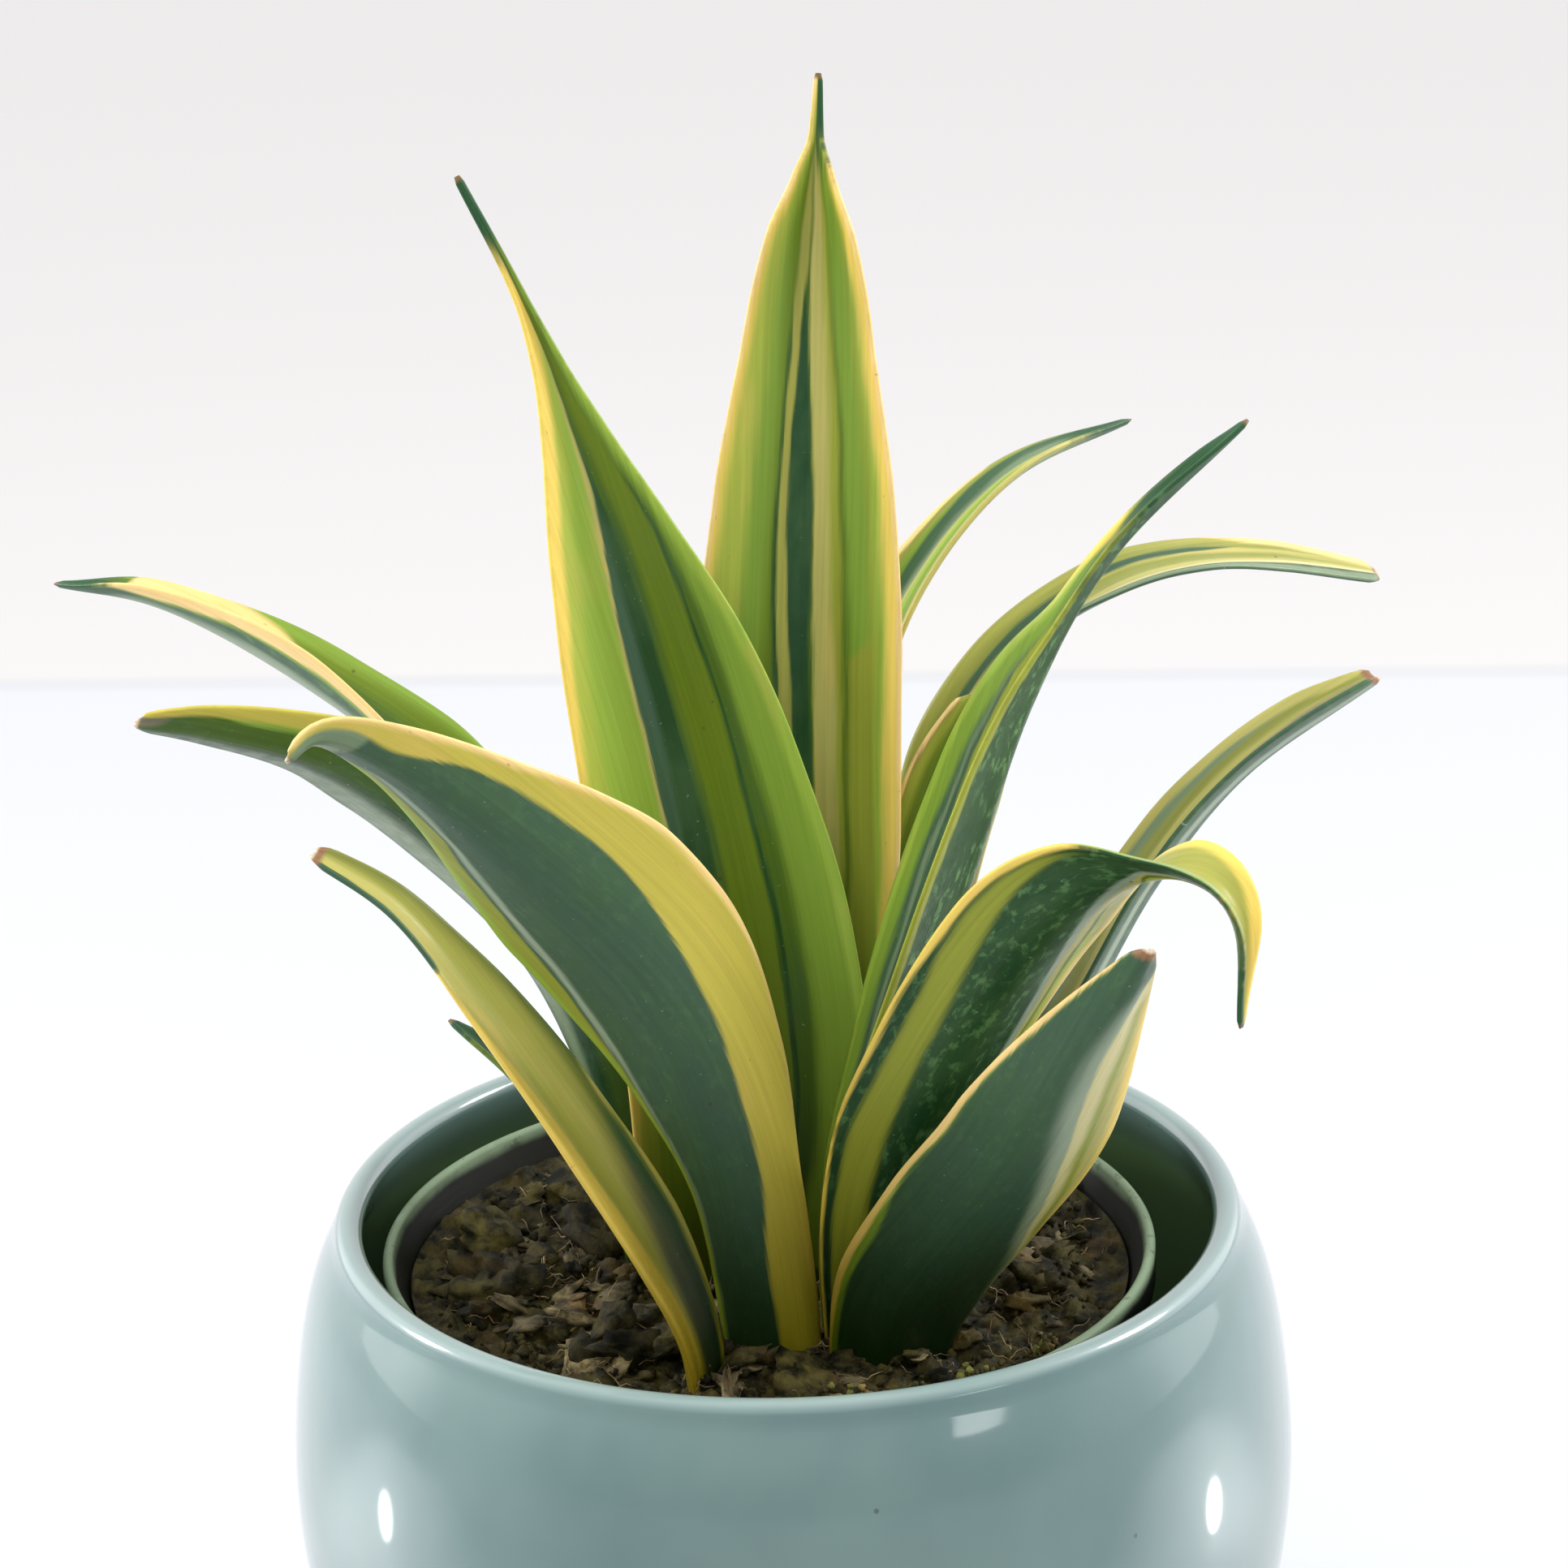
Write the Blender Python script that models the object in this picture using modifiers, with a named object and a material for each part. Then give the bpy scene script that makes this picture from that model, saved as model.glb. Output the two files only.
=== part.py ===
"""Potted snake plant: a short variegated snake plant in a nursery pot, inside a glazed cache pot.

Lengths are written in millimetres and turned into metres where a mesh is made.
The origin is the middle of the cache pot's flat foot, and +Z is up.
"""
import math

import bmesh
import bpy
import numpy as np
from mathutils import Vector, noise

MM = 0.001
CLEARANCE = 0.35

# Cache pot: a bulged body with a rounded lip and a flat foot
CACHE_HEIGHT = 112.0
CACHE_WALL = 4.4
CACHE_FLOOR = 6.0
CACHE_LIP_RADIUS = 70.4
CACHE_FOOT_RADIUS = 50.0
CACHE_OUTLINE = [
    (CACHE_LIP_RADIUS, CACHE_HEIGHT - CACHE_WALL / 2),
    (74.0, 102.0),
    (76.6, 92.0),
    (78.7, 71.0),
    (77.2, 52.0),
    (71.5, 30.0),
    (61.5, 11.0),
    (CACHE_FOOT_RADIUS, 0.0),
]
CACHE_OUTLINE_POINTS = 11
CACHE_LIP_POINTS = 5
CACHE_STEPS = 60

# Nursery pot: 12 cm across its rim, standing a little to one side
NURSERY_PLACE = (-3.0, -1.0)
NURSERY_RIM_RADIUS = 60.0
NURSERY_RIM_WIDTH = 3.0
NURSERY_RIM_DEPTH = 6.0
NURSERY_TOP = 105.6
NURSERY_FOOT_RADIUS = 43.0
NURSERY_WALL = 1.3
NURSERY_STEPS = 48
DRAIN_HOLES = 6
DRAIN_RADIUS = 4.0
DRAIN_RING_RADIUS = 28.0
DRAIN_TOOL_LENGTH = 8.0
DRAIN_SIDES = 16

# Soil: peat with a rough top
SOIL_TOP = 100.5
SOIL_RELIEF = 1.7
SOIL_LUMP = 11.0
SOIL_CRUMB = 4.8
SOIL_RINGS = 8
SOIL_STEPS = 48

# Leaves: a folded blade on a curved midrib, thick in the middle and thin at its margins
ROSETTE_CENTRE = np.array([2.0, -12.0, 0.0])
BLADE_BASE_THICKNESS = 2.2
BLADE_TIP_THICKNESS = 0.9
BLADE_MARGIN_THICKNESS = 0.75
BLADE_PITCH = 8.0
BLADE_ACROSS = (-1.0, -0.62, -0.3, 0.0, 0.3, 0.62, 1.0)
FOLD_SOFTNESS = 0.35
NARROW_BLADE = 4.0
NARROW_BLADE_FOLD = 60.0
MIDRIB_SAMPLES = 240
SPAN_SAMPLES = 60
HOLE_STATIONS = 5
HOLE_HEAD = 6.0

# Each leaf grows out from the rosette centre along its heading, in degrees from +X.
# route: midrib points as (outwards, to the left of the heading, height)
# width, turn and fold: (place along the leaf from 0 to 1, value), in mm and degrees
LEAVES = {
    "leaf_tall_back": {
        "heading": 90,
        "route": [(20, -3, 86), (24, -2, 147), (27, -2, 187), (30, -3.8, 221), (33, -5, 247),
                  (35, -7, 282)],
        "width": [(0, 14), (0.15, 21), (0.3, 28), (0.42, 33), (0.55, 33.5), (0.68, 29.5),
                  (0.8, 21.5), (0.88, 17), (0.925, 8.5), (0.955, 2.5), (1, 1.2)],
        "turn": [(0, 0), (1, -6)],
        "fold": [(0, 45), (0.2, 34), (0.5, 25), (0.8, 27), (0.92, 50), (1, 20)],
    },
    "leaf_tall_left": {
        "heading": 180,
        "route": [(10, -11, 86), (9, -12, 135), (12, -14, 159), (18, -16.5, 187.5), (26, -18, 215),
                  (37, -21, 251), (46, -22, 270.5)],
        "width": [(0, 20), (0.12, 34), (0.22, 42), (0.36, 42), (0.5, 38), (0.6, 32.5), (0.7, 22),
                  (0.78, 12), (0.84, 6), (0.92, 2), (1, 1.2)],
        "turn": [(0, -78), (1, -74)],
        "fold": [(0, 45), (0.3, 30), (0.6, 34), (0.8, 36), (0.9, 45), (1, 20)],
    },
    "leaf_right_upright": {
        "heading": 5,
        "route": [(6.5, -7, 86), (7.5, -6, 120), (14.8, -5, 140), (25.3, -4, 167.5),
                  (35.3, -3.5, 196), (46.8, -6, 217.5), (67, -3.5, 236)],
        "width": [(0, 11), (0.2, 16), (0.4, 28.5), (0.5, 31), (0.6, 27), (0.7, 18), (0.78, 8),
                  (0.84, 6.5), (0.95, 4.5), (1, 1.2)],
        "turn": [(0, -10), (1, 4)],
        "fold": [(0, 45), (0.5, 38), (0.9, 48), (1, 20)],
    },
    "leaf_right_arching": {
        "heading": -30,
        "pitch": 5.5,
        "route": [(15.5, -7.8, 86), (18.5, -8, 123.5), (30.5, -8.5, 147.5), (44.5, -8.5, 169),
                  (53.5, -8.5, 177.5), (61.5, -8.5, 181.5), (68, -9, 183), (72.5, -9, 181.5),
                  (75.5, -9, 177), (76, -9, 162)],
        "width": [(0, 12.5), (0.26, 18), (0.36, 22), (0.5, 24.5), (0.62, 25), (0.7, 23), (0.77, 19),
                  (0.84, 13), (0.89, 8), (0.94, 4), (1, 1.2)],
        "turn": [(0, -45), (0.5, -48), (0.65, -46), (0.72, -36), (0.78, -16), (0.84, 0), (1, 8)],
        "fold": [(0, 40), (0.4, 30), (0.8, 30), (0.92, 40), (1, 20)],
    },
    "leaf_front_left": {
        "heading": 212,
        "route": [(13, 17, 86), (16, 13.5, 124), (22, 12.5, 146), (31, 11, 164), (48, 8.5, 184),
                  (68, 7, 202.5), (78, 5.5, 207.5), (83, 5.5, 205)],
        "width": [(0, 13), (0.1, 16), (0.26, 17.5), (0.4, 25), (0.55, 32), (0.62, 32.5), (0.7, 28),
                  (0.79, 20), (0.875, 13), (0.94, 8), (1, 3)],
        "turn": [(0, 80), (1, 50)],
        "fold": [(0, 26), (1, 28)],
    },
    "leaf_front_right": {
        "heading": -42,
        "route": [(21.5, -7.5, 86), (27, -8, 108), (37, -6.5, 123), (47, -6, 136), (61, -8, 158),
                  (71.5, -7.5, 177)],
        "width": [(0, 16), (0.15, 20), (0.26, 24.5), (0.45, 27), (0.6, 26), (0.7, 23), (0.8, 18),
                  (0.87, 13.5), (1, 3.5)],
        "turn": [(0, -46), (1, -41)],
        "fold": [(0, 25), (1, 36)],
    },
    "leaf_left_upper": {
        "heading": 195,
        "route": [(21, -17, 86), (21.5, -17.5, 115), (31, -18, 151), (47.5, -18, 173),
                  (65, -16, 188.5), (82.5, -13, 196.5), (93.5, -12, 199.5)],
        "width": [(0, 12), (0.25, 15.5), (0.35, 21), (0.5, 27), (0.62, 27), (0.72, 25.5),
                  (0.82, 16), (0.92, 10.5), (1, 4)],
        "turn": [(0, 42), (1, 54)],
        "fold": [(0, 34), (1, 24)],
    },
    "leaf_left_long": {
        "heading": 160,
        "route": [(24.5, -16.5, 86), (27, -14, 112.5), (37, -11.5, 145), (58, -9, 173),
                  (80, -8.5, 188.5), (106, -8, 200.5), (125, -8.5, 202.5)],
        "width": [(0, 13), (0.3, 17), (0.5, 15.5), (0.62, 19), (0.72, 19), (0.87, 10.5),
                  (0.93, 7.5), (1, 1.2)],
        "turn": [(0, 17), (0.3, 12), (0.5, -16), (0.75, 16), (1, 0)],
        "fold": [(0, 40), (0.5, 40), (0.9, 50), (1, 24)],
    },
    "leaf_left_low": {
        "heading": 185,
        "route": [(19, 25.5, 86), (18.7, 23.8, 103.5), (25, 21, 120), (35, 17.5, 137.5),
                  (47, 14, 156.5), (58.5, 12.5, 172.5), (70, 10, 180.5)],
        "width": [(0, 11), (0.15, 12), (0.35, 17), (0.55, 16), (0.7, 13), (0.82, 8.5), (1, 4.5)],
        "turn": [(0, -28), (1, -30)],
        "fold": [(0, 30), (1, 24)],
    },
    "leaf_left_small": {
        "heading": 152,
        "route": [(34.5, -12.5, 86), (38, -10.5, 105.5), (53, -7, 123.5), (66, -6.5, 132.5)],
        "width": [(0, 8), (0.4, 11), (0.7, 9.5), (0.9, 5), (1, 1.2)],
        "turn": [(0, 8), (1, 6)],
        "fold": [(0, 35), (1, 28)],
    },
    "leaf_right_low": {
        "heading": 12,
        "route": [(19, -1, 86), (25, -1, 113), (44, -1, 143), (56, 0, 162.5), (69.5, 0, 178),
                  (91.5, 0, 191.5)],
        "width": [(0, 13), (0.3, 19), (0.55, 19), (0.7, 17.5), (0.8, 14.5), (0.9, 13), (1, 6)],
        "turn": [(0, -10), (1, -3)],
        "fold": [(0, 35), (0.5, 34), (1, 42)],
    },
    "leaf_right_back": {
        "heading": 45,
        "route": [(25.5, 20.5, 86), (28, 18, 144), (35, 15, 189), (43.5, 12.5, 204),
                  (59.5, 9.5, 216), (86.5, 7.5, 220.5)],
        "width": [(0, 8), (0.3, 11), (0.42, 15), (0.5, 17), (0.6, 15.5), (0.8, 10), (0.9, 7),
                  (1, 1.2)],
        "turn": [(0, -14), (1, -9)],
        "fold": [(0, 35), (0.5, 32), (1, 30)],
    },
    "leaf_right_long": {
        "heading": 28,
        "route": [(30.5, 26.5, 86), (29.5, 24.5, 118), (35.5, 20, 161.5), (47, 17, 188),
                  (64.5, 15, 199), (77, 13, 201.5), (93.5, 12, 200), (113.5, 10, 195)],
        "width": [(0, 8), (0.25, 9), (0.38, 12), (0.5, 18.5), (0.6, 16), (0.75, 17), (0.88, 12),
                  (1, 5.5)],
        "turn": [(0, -8), (0.55, -11), (0.75, -1), (1, 24)],
        "fold": [(0, 35), (0.5, 42), (0.75, 16), (1, 10)],
    },
    "leaf_right_short": {
        "heading": 25,
        "route": [(18, 19.5, 86), (23, 17.5, 124), (29, 14.5, 156.5), (34, 11.5, 176),
                  (40, 10.5, 187)],
        "width": [(0, 10), (0.4, 14), (0.7, 16), (0.85, 15.5), (1, 11)],
        "turn": [(0, 60), (1, 60)],
        "fold": [(0, 20), (1, 15)],
    },
}

# Plain colours of the materials, as linear red, green and blue
LEAF_COLOUR = (0.16, 0.23, 0.05)
GLAZE_COLOUR = (0.40, 0.51, 0.50)
NURSERY_COLOUR = (0.10, 0.14, 0.10)
SOIL_COLOUR = (0.035, 0.022, 0.015)


def clear_scene():
    """Remove the objects that the file opens with."""
    for thing in list(bpy.data.objects):
        bpy.data.objects.remove(thing, do_unlink=True)


def new_collection(name):
    collection = bpy.data.collections.new(name)
    bpy.context.scene.collection.children.link(collection)
    return collection


def plain_material(name, colour, roughness):
    material = bpy.data.materials.new(name)
    material.use_nodes = True
    shader = material.node_tree.nodes["Principled BSDF"]
    shader.inputs["Base Color"].default_value = (*colour, 1.0)
    shader.inputs["Roughness"].default_value = roughness
    shader.inputs["Metallic"].default_value = 0.0
    return material


def as_object(name, mesh, collection):
    thing = bpy.data.objects.new(name, mesh)
    collection.objects.link(thing)
    return thing


def settle(thing):
    """Turn an object's modifiers into plain mesh."""
    bpy.context.view_layer.update()
    graph = bpy.context.evaluated_depsgraph_get()
    mesh = bpy.data.meshes.new_from_object(thing.evaluated_get(graph))
    thing.modifiers.clear()
    thing.data = mesh


def make_cutter(thing):
    thing.hide_render = True
    thing.display_type = "WIRE"


def cut(thing, cutter):
    modifier = thing.modifiers.new("cut " + cutter.name, "BOOLEAN")
    modifier.operation = "DIFFERENCE"
    modifier.solver = "EXACT"
    modifier.object = cutter


def blend(at, start, end, first, second):
    """Straight-line mix of two points or rows of points, for each knot value in a span."""
    share = (at - start) / (end - start)
    return (1 - share) * first + share * second


def smooth_curve(points, count):
    """Evenly spaced points on a centripetal Catmull-Rom curve, with the curve's length."""
    points = np.asarray(points, float)
    chords = np.sqrt(np.linalg.norm(np.diff(points, axis=0), axis=1))
    knots = np.concatenate([[0.0], np.cumsum(chords)])
    knots = np.concatenate([[-chords[0]], knots, [knots[-1] + chords[-1]]])
    points = np.concatenate([[2 * points[0] - points[1]], points, [2 * points[-1] - points[-2]]])
    pieces = []
    for i in range(1, len(points) - 2):
        before, start, end, after = knots[i - 1:i + 3]
        at = np.linspace(start, end, SPAN_SAMPLES)[:, None]
        a = blend(at, before, start, points[i - 1], points[i])
        b = blend(at, start, end, points[i], points[i + 1])
        c = blend(at, end, after, points[i + 1], points[i + 2])
        pieces.append(blend(at, start, end, blend(at, before, end, a, b), blend(at, start, after, b, c)))
    dense = np.concatenate(pieces)
    run = np.concatenate([[0.0], np.cumsum(np.linalg.norm(np.diff(dense, axis=0), axis=1))])
    even = np.linspace(0.0, run[-1], count)
    curve = np.stack([np.interp(even, run, dense[:, axis]) for axis in range(dense.shape[1])], 1)
    return curve, run[-1]


def eased(keys, places):
    """Read a smooth curve through (place, value) keys that never overshoots them."""
    at = np.array([key[0] for key in keys], float)
    value = np.array([key[1] for key in keys], float)
    slope = np.diff(value) / np.diff(at)
    tangent = np.concatenate([[slope[0]], np.zeros(len(keys) - 2), [slope[-1]]])
    for i in range(1, len(keys) - 1):
        if slope[i - 1] * slope[i] > 0:
            tangent[i] = 2 * slope[i - 1] * slope[i] / (slope[i - 1] + slope[i])
    low = np.clip(np.searchsorted(at, places, side="right") - 1, 0, len(keys) - 2)
    step = at[low + 1] - at[low]
    f = (places - at[low]) / step
    return ((2 * f**3 - 3 * f**2 + 1) * value[low] + (f**3 - 2 * f**2 + f) * step * tangent[low]
            + (3 * f**2 - 2 * f**3) * value[low + 1] + (f**3 - f**2) * step * tangent[low + 1])


def blade_section(fold, half_width, across):
    """Cross-section of a blade: a V with a rounded crease, as sideways and upward distances."""
    angle = max(math.radians(fold), 0.001)
    side = np.abs(across)
    inner = np.minimum(side, FOLD_SOFTNESS)
    outer = side - inner
    sideways = FOLD_SOFTNESS / angle * np.sin(angle * inner / FOLD_SOFTNESS) + outer * math.cos(angle)
    upward = FOLD_SOFTNESS / angle * (1 - np.cos(angle * inner / FOLD_SOFTNESS)) + outer * math.sin(angle)
    return half_width * np.sign(across) * sideways, half_width * upward


def blade_grid(leaf, places, across, grow=0.0):
    """Rows of points over a leaf's middle surface, one row for each place along it."""
    heading = math.radians(leaf["heading"])
    outward = np.array([math.cos(heading), math.sin(heading), 0.0])
    left = np.array([-math.sin(heading), math.cos(heading), 0.0])
    route = [ROSETTE_CENTRE + out * outward + side * left + np.array([0.0, 0.0, height])
             for out, side, height in leaf["route"]]
    midrib, _ = smooth_curve(route, MIDRIB_SAMPLES)
    along = np.gradient(midrib, axis=0)
    along /= np.linalg.norm(along, axis=1)[:, None]
    samples = np.linspace(0.0, 1.0, MIDRIB_SAMPLES)
    rows = []
    for place in places:
        centre = np.array([np.interp(place, samples, midrib[:, axis]) for axis in range(3)])
        tangent = np.array([np.interp(place, samples, along[:, axis]) for axis in range(3)])
        tangent /= np.linalg.norm(tangent)
        sideways = left - np.dot(left, tangent) * tangent
        sideways /= np.linalg.norm(sideways)
        upward = np.cross(tangent, sideways)
        turn = math.radians(eased(leaf["turn"], place))
        turned_side = math.cos(turn) * sideways + math.sin(turn) * upward
        turned_up = math.cos(turn) * upward - math.sin(turn) * sideways
        width = eased(leaf["width"], place)
        fold = eased(leaf["fold"], place)
        if width < NARROW_BLADE:
            fold = min(fold, NARROW_BLADE_FOLD * width / NARROW_BLADE)
        x, y = blade_section(fold, width / 2 + grow, np.array(across))
        rows.append(centre + x[:, None] * turned_side + y[:, None] * turned_up)
    return np.array(rows)


def blade_mesh(name, rows, across, thickness, margin):
    """Skin rows of points with triangles and note how thick the blade is at each point."""
    mesh = bpy.data.meshes.new(name)
    count = len(across)
    faces = []
    for row in range(len(rows) - 1):
        for column in range(count - 1):
            a = row * count + column
            b = a + 1
            c = b + count
            d = a + count
            faces.append((a, b, c))
            faces.append((a, c, d))
    mesh.from_pydata([tuple(point * MM) for point in rows.reshape(-1, 3)], [], faces)
    mesh.shade_smooth()
    shares = []
    for middle in thickness:
        for u in across:
            shares.append((margin + (middle - margin) * math.sqrt(1 - u * u)) / max(thickness))
    return mesh, shares


def thicken(thing, shares, thickness):
    """Give a blade its thickness, half on each face."""
    group = thing.vertex_groups.new(name="thickness")
    for index, share in enumerate(shares):
        group.add([index], share, "REPLACE")
    shell = thing.modifiers.new("thickness", "SOLIDIFY")
    shell.thickness = thickness * MM
    shell.offset = 0.0
    shell.vertex_group = group.name


def make_leaf(name, leaf, collection, material):
    _, length = smooth_curve(leaf["route"], MIDRIB_SAMPLES)
    stations = max(8, round(length / leaf.get("pitch", BLADE_PITCH)))
    places = np.linspace(0.0, 1.0, stations)
    rows = blade_grid(leaf, places, BLADE_ACROSS)
    thickness = BLADE_BASE_THICKNESS + (BLADE_TIP_THICKNESS - BLADE_BASE_THICKNESS) * places
    mesh, shares = blade_mesh(name, rows, BLADE_ACROSS, thickness, BLADE_MARGIN_THICKNESS)
    mesh.materials.append(material)
    thing = as_object(name, mesh, collection)
    thicken(thing, shares, BLADE_BASE_THICKNESS)


def make_leaf_hole(name, leaf, collection):
    """A cutter a little larger than the buried end of a leaf."""
    curve, _ = smooth_curve(leaf["route"], MIDRIB_SAMPLES)
    buried = np.count_nonzero(curve[:, 2] < SOIL_TOP + HOLE_HEAD) / MIDRIB_SAMPLES
    rows = blade_grid(leaf, np.linspace(0.0, buried, HOLE_STATIONS), BLADE_ACROSS, grow=CLEARANCE)
    rows[0, :, 2] -= CLEARANCE
    thickness = np.full(HOLE_STATIONS, BLADE_BASE_THICKNESS + 2 * CLEARANCE)
    margin = BLADE_MARGIN_THICKNESS + 2 * CLEARANCE
    mesh, shares = blade_mesh("hole for " + name, rows, BLADE_ACROSS, thickness, margin)
    thing = as_object("hole_for_" + name, mesh, collection)
    thicken(thing, shares, thickness[0])
    settle(thing)
    make_cutter(thing)
    return thing


def turned(name, profile, steps, collection):
    """Turn a profile of (radius, height) about the vertical axis."""
    mesh = bpy.data.meshes.new(name)
    edges = [(i, i + 1) for i in range(len(profile) - 1)]
    mesh.from_pydata([(radius * MM, 0.0, height * MM) for radius, height in profile], edges, [])
    thing = as_object(name, mesh, collection)
    screw = thing.modifiers.new("turn", "SCREW")
    screw.axis = "Z"
    screw.steps = steps
    screw.render_steps = steps
    screw.use_merge_vertices = True
    screw.merge_threshold = 0.0001
    screw.use_smooth_shade = True
    return thing


def offset_inward(outline, distance):
    """Move an outline that runs down the outside towards the axis side by a wall's thickness."""
    outline = np.asarray(outline)
    direction = np.gradient(outline, axis=0)
    direction /= np.linalg.norm(direction, axis=1)[:, None]
    inward = np.stack([direction[:, 1], -direction[:, 0]], 1)
    return outline + distance * inward


def cache_profile():
    outer, _ = smooth_curve(CACHE_OUTLINE, CACHE_OUTLINE_POINTS)
    inner = offset_inward(outer, CACHE_WALL)
    inner[0] = (CACHE_LIP_RADIUS - CACHE_WALL, outer[0, 1])
    inner = inner[inner[:, 1] > CACHE_FLOOR + CACHE_WALL]
    lip_radius = CACHE_WALL / 2
    lip = []
    for angle in np.linspace(math.pi, 0.0, CACHE_LIP_POINTS + 2)[1:-1]:
        lip.append((CACHE_LIP_RADIUS - lip_radius + lip_radius * math.cos(angle),
                    outer[0, 1] + lip_radius * math.sin(angle)))
    floor_edge = inner[-1, 0] - CACHE_WALL
    floor = [(0.0, CACHE_FLOOR), (floor_edge, CACHE_FLOOR)]
    return floor + [tuple(p) for p in inner[::-1]] + lip + [tuple(p) for p in outer] + [(0.0, 0.0)]


def nursery_inner_radius(height):
    """Inner radius of the tapered nursery pot at a height above the table."""
    top_radius = NURSERY_RIM_RADIUS - NURSERY_RIM_WIDTH
    bottom_radius = NURSERY_FOOT_RADIUS - NURSERY_WALL
    bottom = CACHE_FLOOR + CLEARANCE
    share = (height - bottom) / (NURSERY_TOP - bottom)
    return bottom_radius + (top_radius - bottom_radius) * share


def nursery_profile():
    bottom = CACHE_FLOOR + CLEARANCE
    skirt = NURSERY_TOP - NURSERY_RIM_DEPTH
    edge = NURSERY_RIM_WIDTH / 4
    inner_top = nursery_inner_radius(NURSERY_TOP)
    return [
        (0.0, bottom + NURSERY_WALL),
        (nursery_inner_radius(bottom + NURSERY_WALL), bottom + NURSERY_WALL),
        (nursery_inner_radius(skirt), skirt),
        (nursery_inner_radius(NURSERY_TOP - edge), NURSERY_TOP - edge),
        (inner_top + edge, NURSERY_TOP),
        (NURSERY_RIM_RADIUS - edge, NURSERY_TOP),
        (NURSERY_RIM_RADIUS, NURSERY_TOP - edge),
        (NURSERY_RIM_RADIUS, skirt),
        (nursery_inner_radius(skirt) + NURSERY_WALL, skirt),
        (NURSERY_FOOT_RADIUS, bottom),
        (0.0, bottom),
    ]


def make_nursery_pot(collection, cutters, material):
    pot = turned("grow_pot", nursery_profile(), NURSERY_STEPS, collection)
    settle(pot)
    pot.data.materials.append(material)
    for index in range(DRAIN_HOLES):
        angle = 2 * math.pi * index / DRAIN_HOLES
        tool = bmesh.new()
        bmesh.ops.create_cone(tool, cap_ends=True, segments=DRAIN_SIDES, radius1=DRAIN_RADIUS * MM,
                              radius2=DRAIN_RADIUS * MM, depth=DRAIN_TOOL_LENGTH * MM)
        mesh = bpy.data.meshes.new("drain hole")
        tool.to_mesh(mesh)
        tool.free()
        hole = as_object("drain_hole_%d" % (index + 1), mesh, cutters)
        hole.location = (DRAIN_RING_RADIUS * math.cos(angle) * MM,
                         DRAIN_RING_RADIUS * math.sin(angle) * MM,
                         (CACHE_FLOOR + CLEARANCE + NURSERY_WALL / 2) * MM)
        hole.parent = pot
        make_cutter(hole)
        cut(pot, hole)
    pot.location = (NURSERY_PLACE[0] * MM, NURSERY_PLACE[1] * MM, 0.0)


def soil_profile():
    bottom = CACHE_FLOOR + NURSERY_WALL + 2 * CLEARANCE
    top_radius = nursery_inner_radius(SOIL_TOP) - CLEARANCE
    rings = [(top_radius * ring / SOIL_RINGS, SOIL_TOP) for ring in range(SOIL_RINGS, -1, -1)]
    return rings[::-1] + [(nursery_inner_radius(bottom) - CLEARANCE, bottom), (0.0, bottom)]


def soil_height(x, y):
    """Relief of the soil's top, from two sizes of lumps."""
    coarse = noise.noise(Vector((x / SOIL_LUMP, y / SOIL_LUMP, 0.0)))
    fine = noise.noise(Vector((x / SOIL_CRUMB, y / SOIL_CRUMB, 5.0)))
    return SOIL_RELIEF * (coarse + fine / 2)


def make_soil(collection, holes, material):
    soil = turned("soil", soil_profile(), SOIL_STEPS, collection)
    settle(soil)
    soil.data.materials.append(material)
    edge = nursery_inner_radius(SOIL_TOP) - 2 * CLEARANCE
    for vertex in soil.data.vertices:
        x, y, z = (value / MM for value in vertex.co)
        if z > SOIL_TOP - CLEARANCE and math.hypot(x, y) < edge:
            vertex.co.z += soil_height(x, y) * MM
    soil.location = (NURSERY_PLACE[0] * MM, NURSERY_PLACE[1] * MM, 0.0)
    for hole in holes:
        cut(soil, hole)


def main():
    clear_scene()
    plant = new_collection("potted_snake_plant")
    cutters = new_collection("cutters")
    leaf_material = plain_material("leaf", LEAF_COLOUR, 0.4)

    pot = turned("cache_pot", cache_profile(), CACHE_STEPS, plant)
    pot.data.materials.append(plain_material("glaze", GLAZE_COLOUR, 0.12))
    make_nursery_pot(plant, cutters, plain_material("nursery plastic", NURSERY_COLOUR, 0.5))

    holes = []
    for name, leaf in LEAVES.items():
        make_leaf(name, leaf, plant, leaf_material)
        holes.append(make_leaf_hole(name, leaf, cutters))
    make_soil(plant, holes, plain_material("soil", SOIL_COLOUR, 0.95))


main()
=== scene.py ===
"""Looks of the potted snake plant: striped leaves, glazed cache pot, nursery pot, peat, light and camera.

Lengths are written in millimetres and turned into metres where a mesh is made.
"""
import math
import random

import bpy
import numpy as np
from mathutils import Matrix, Vector, noise


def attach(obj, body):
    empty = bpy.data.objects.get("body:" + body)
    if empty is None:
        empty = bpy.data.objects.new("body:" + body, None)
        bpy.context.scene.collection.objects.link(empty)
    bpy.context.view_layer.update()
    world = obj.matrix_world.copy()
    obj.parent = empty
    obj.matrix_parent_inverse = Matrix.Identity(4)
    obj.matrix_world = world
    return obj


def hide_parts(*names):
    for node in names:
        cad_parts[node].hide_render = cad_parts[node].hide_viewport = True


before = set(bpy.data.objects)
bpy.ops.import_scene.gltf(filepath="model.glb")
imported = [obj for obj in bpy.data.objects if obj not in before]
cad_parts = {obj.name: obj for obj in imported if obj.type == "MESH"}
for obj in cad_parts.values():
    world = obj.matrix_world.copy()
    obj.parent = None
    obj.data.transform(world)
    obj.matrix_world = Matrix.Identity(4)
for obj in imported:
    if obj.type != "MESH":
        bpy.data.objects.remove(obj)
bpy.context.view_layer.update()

MM = 0.001

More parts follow.
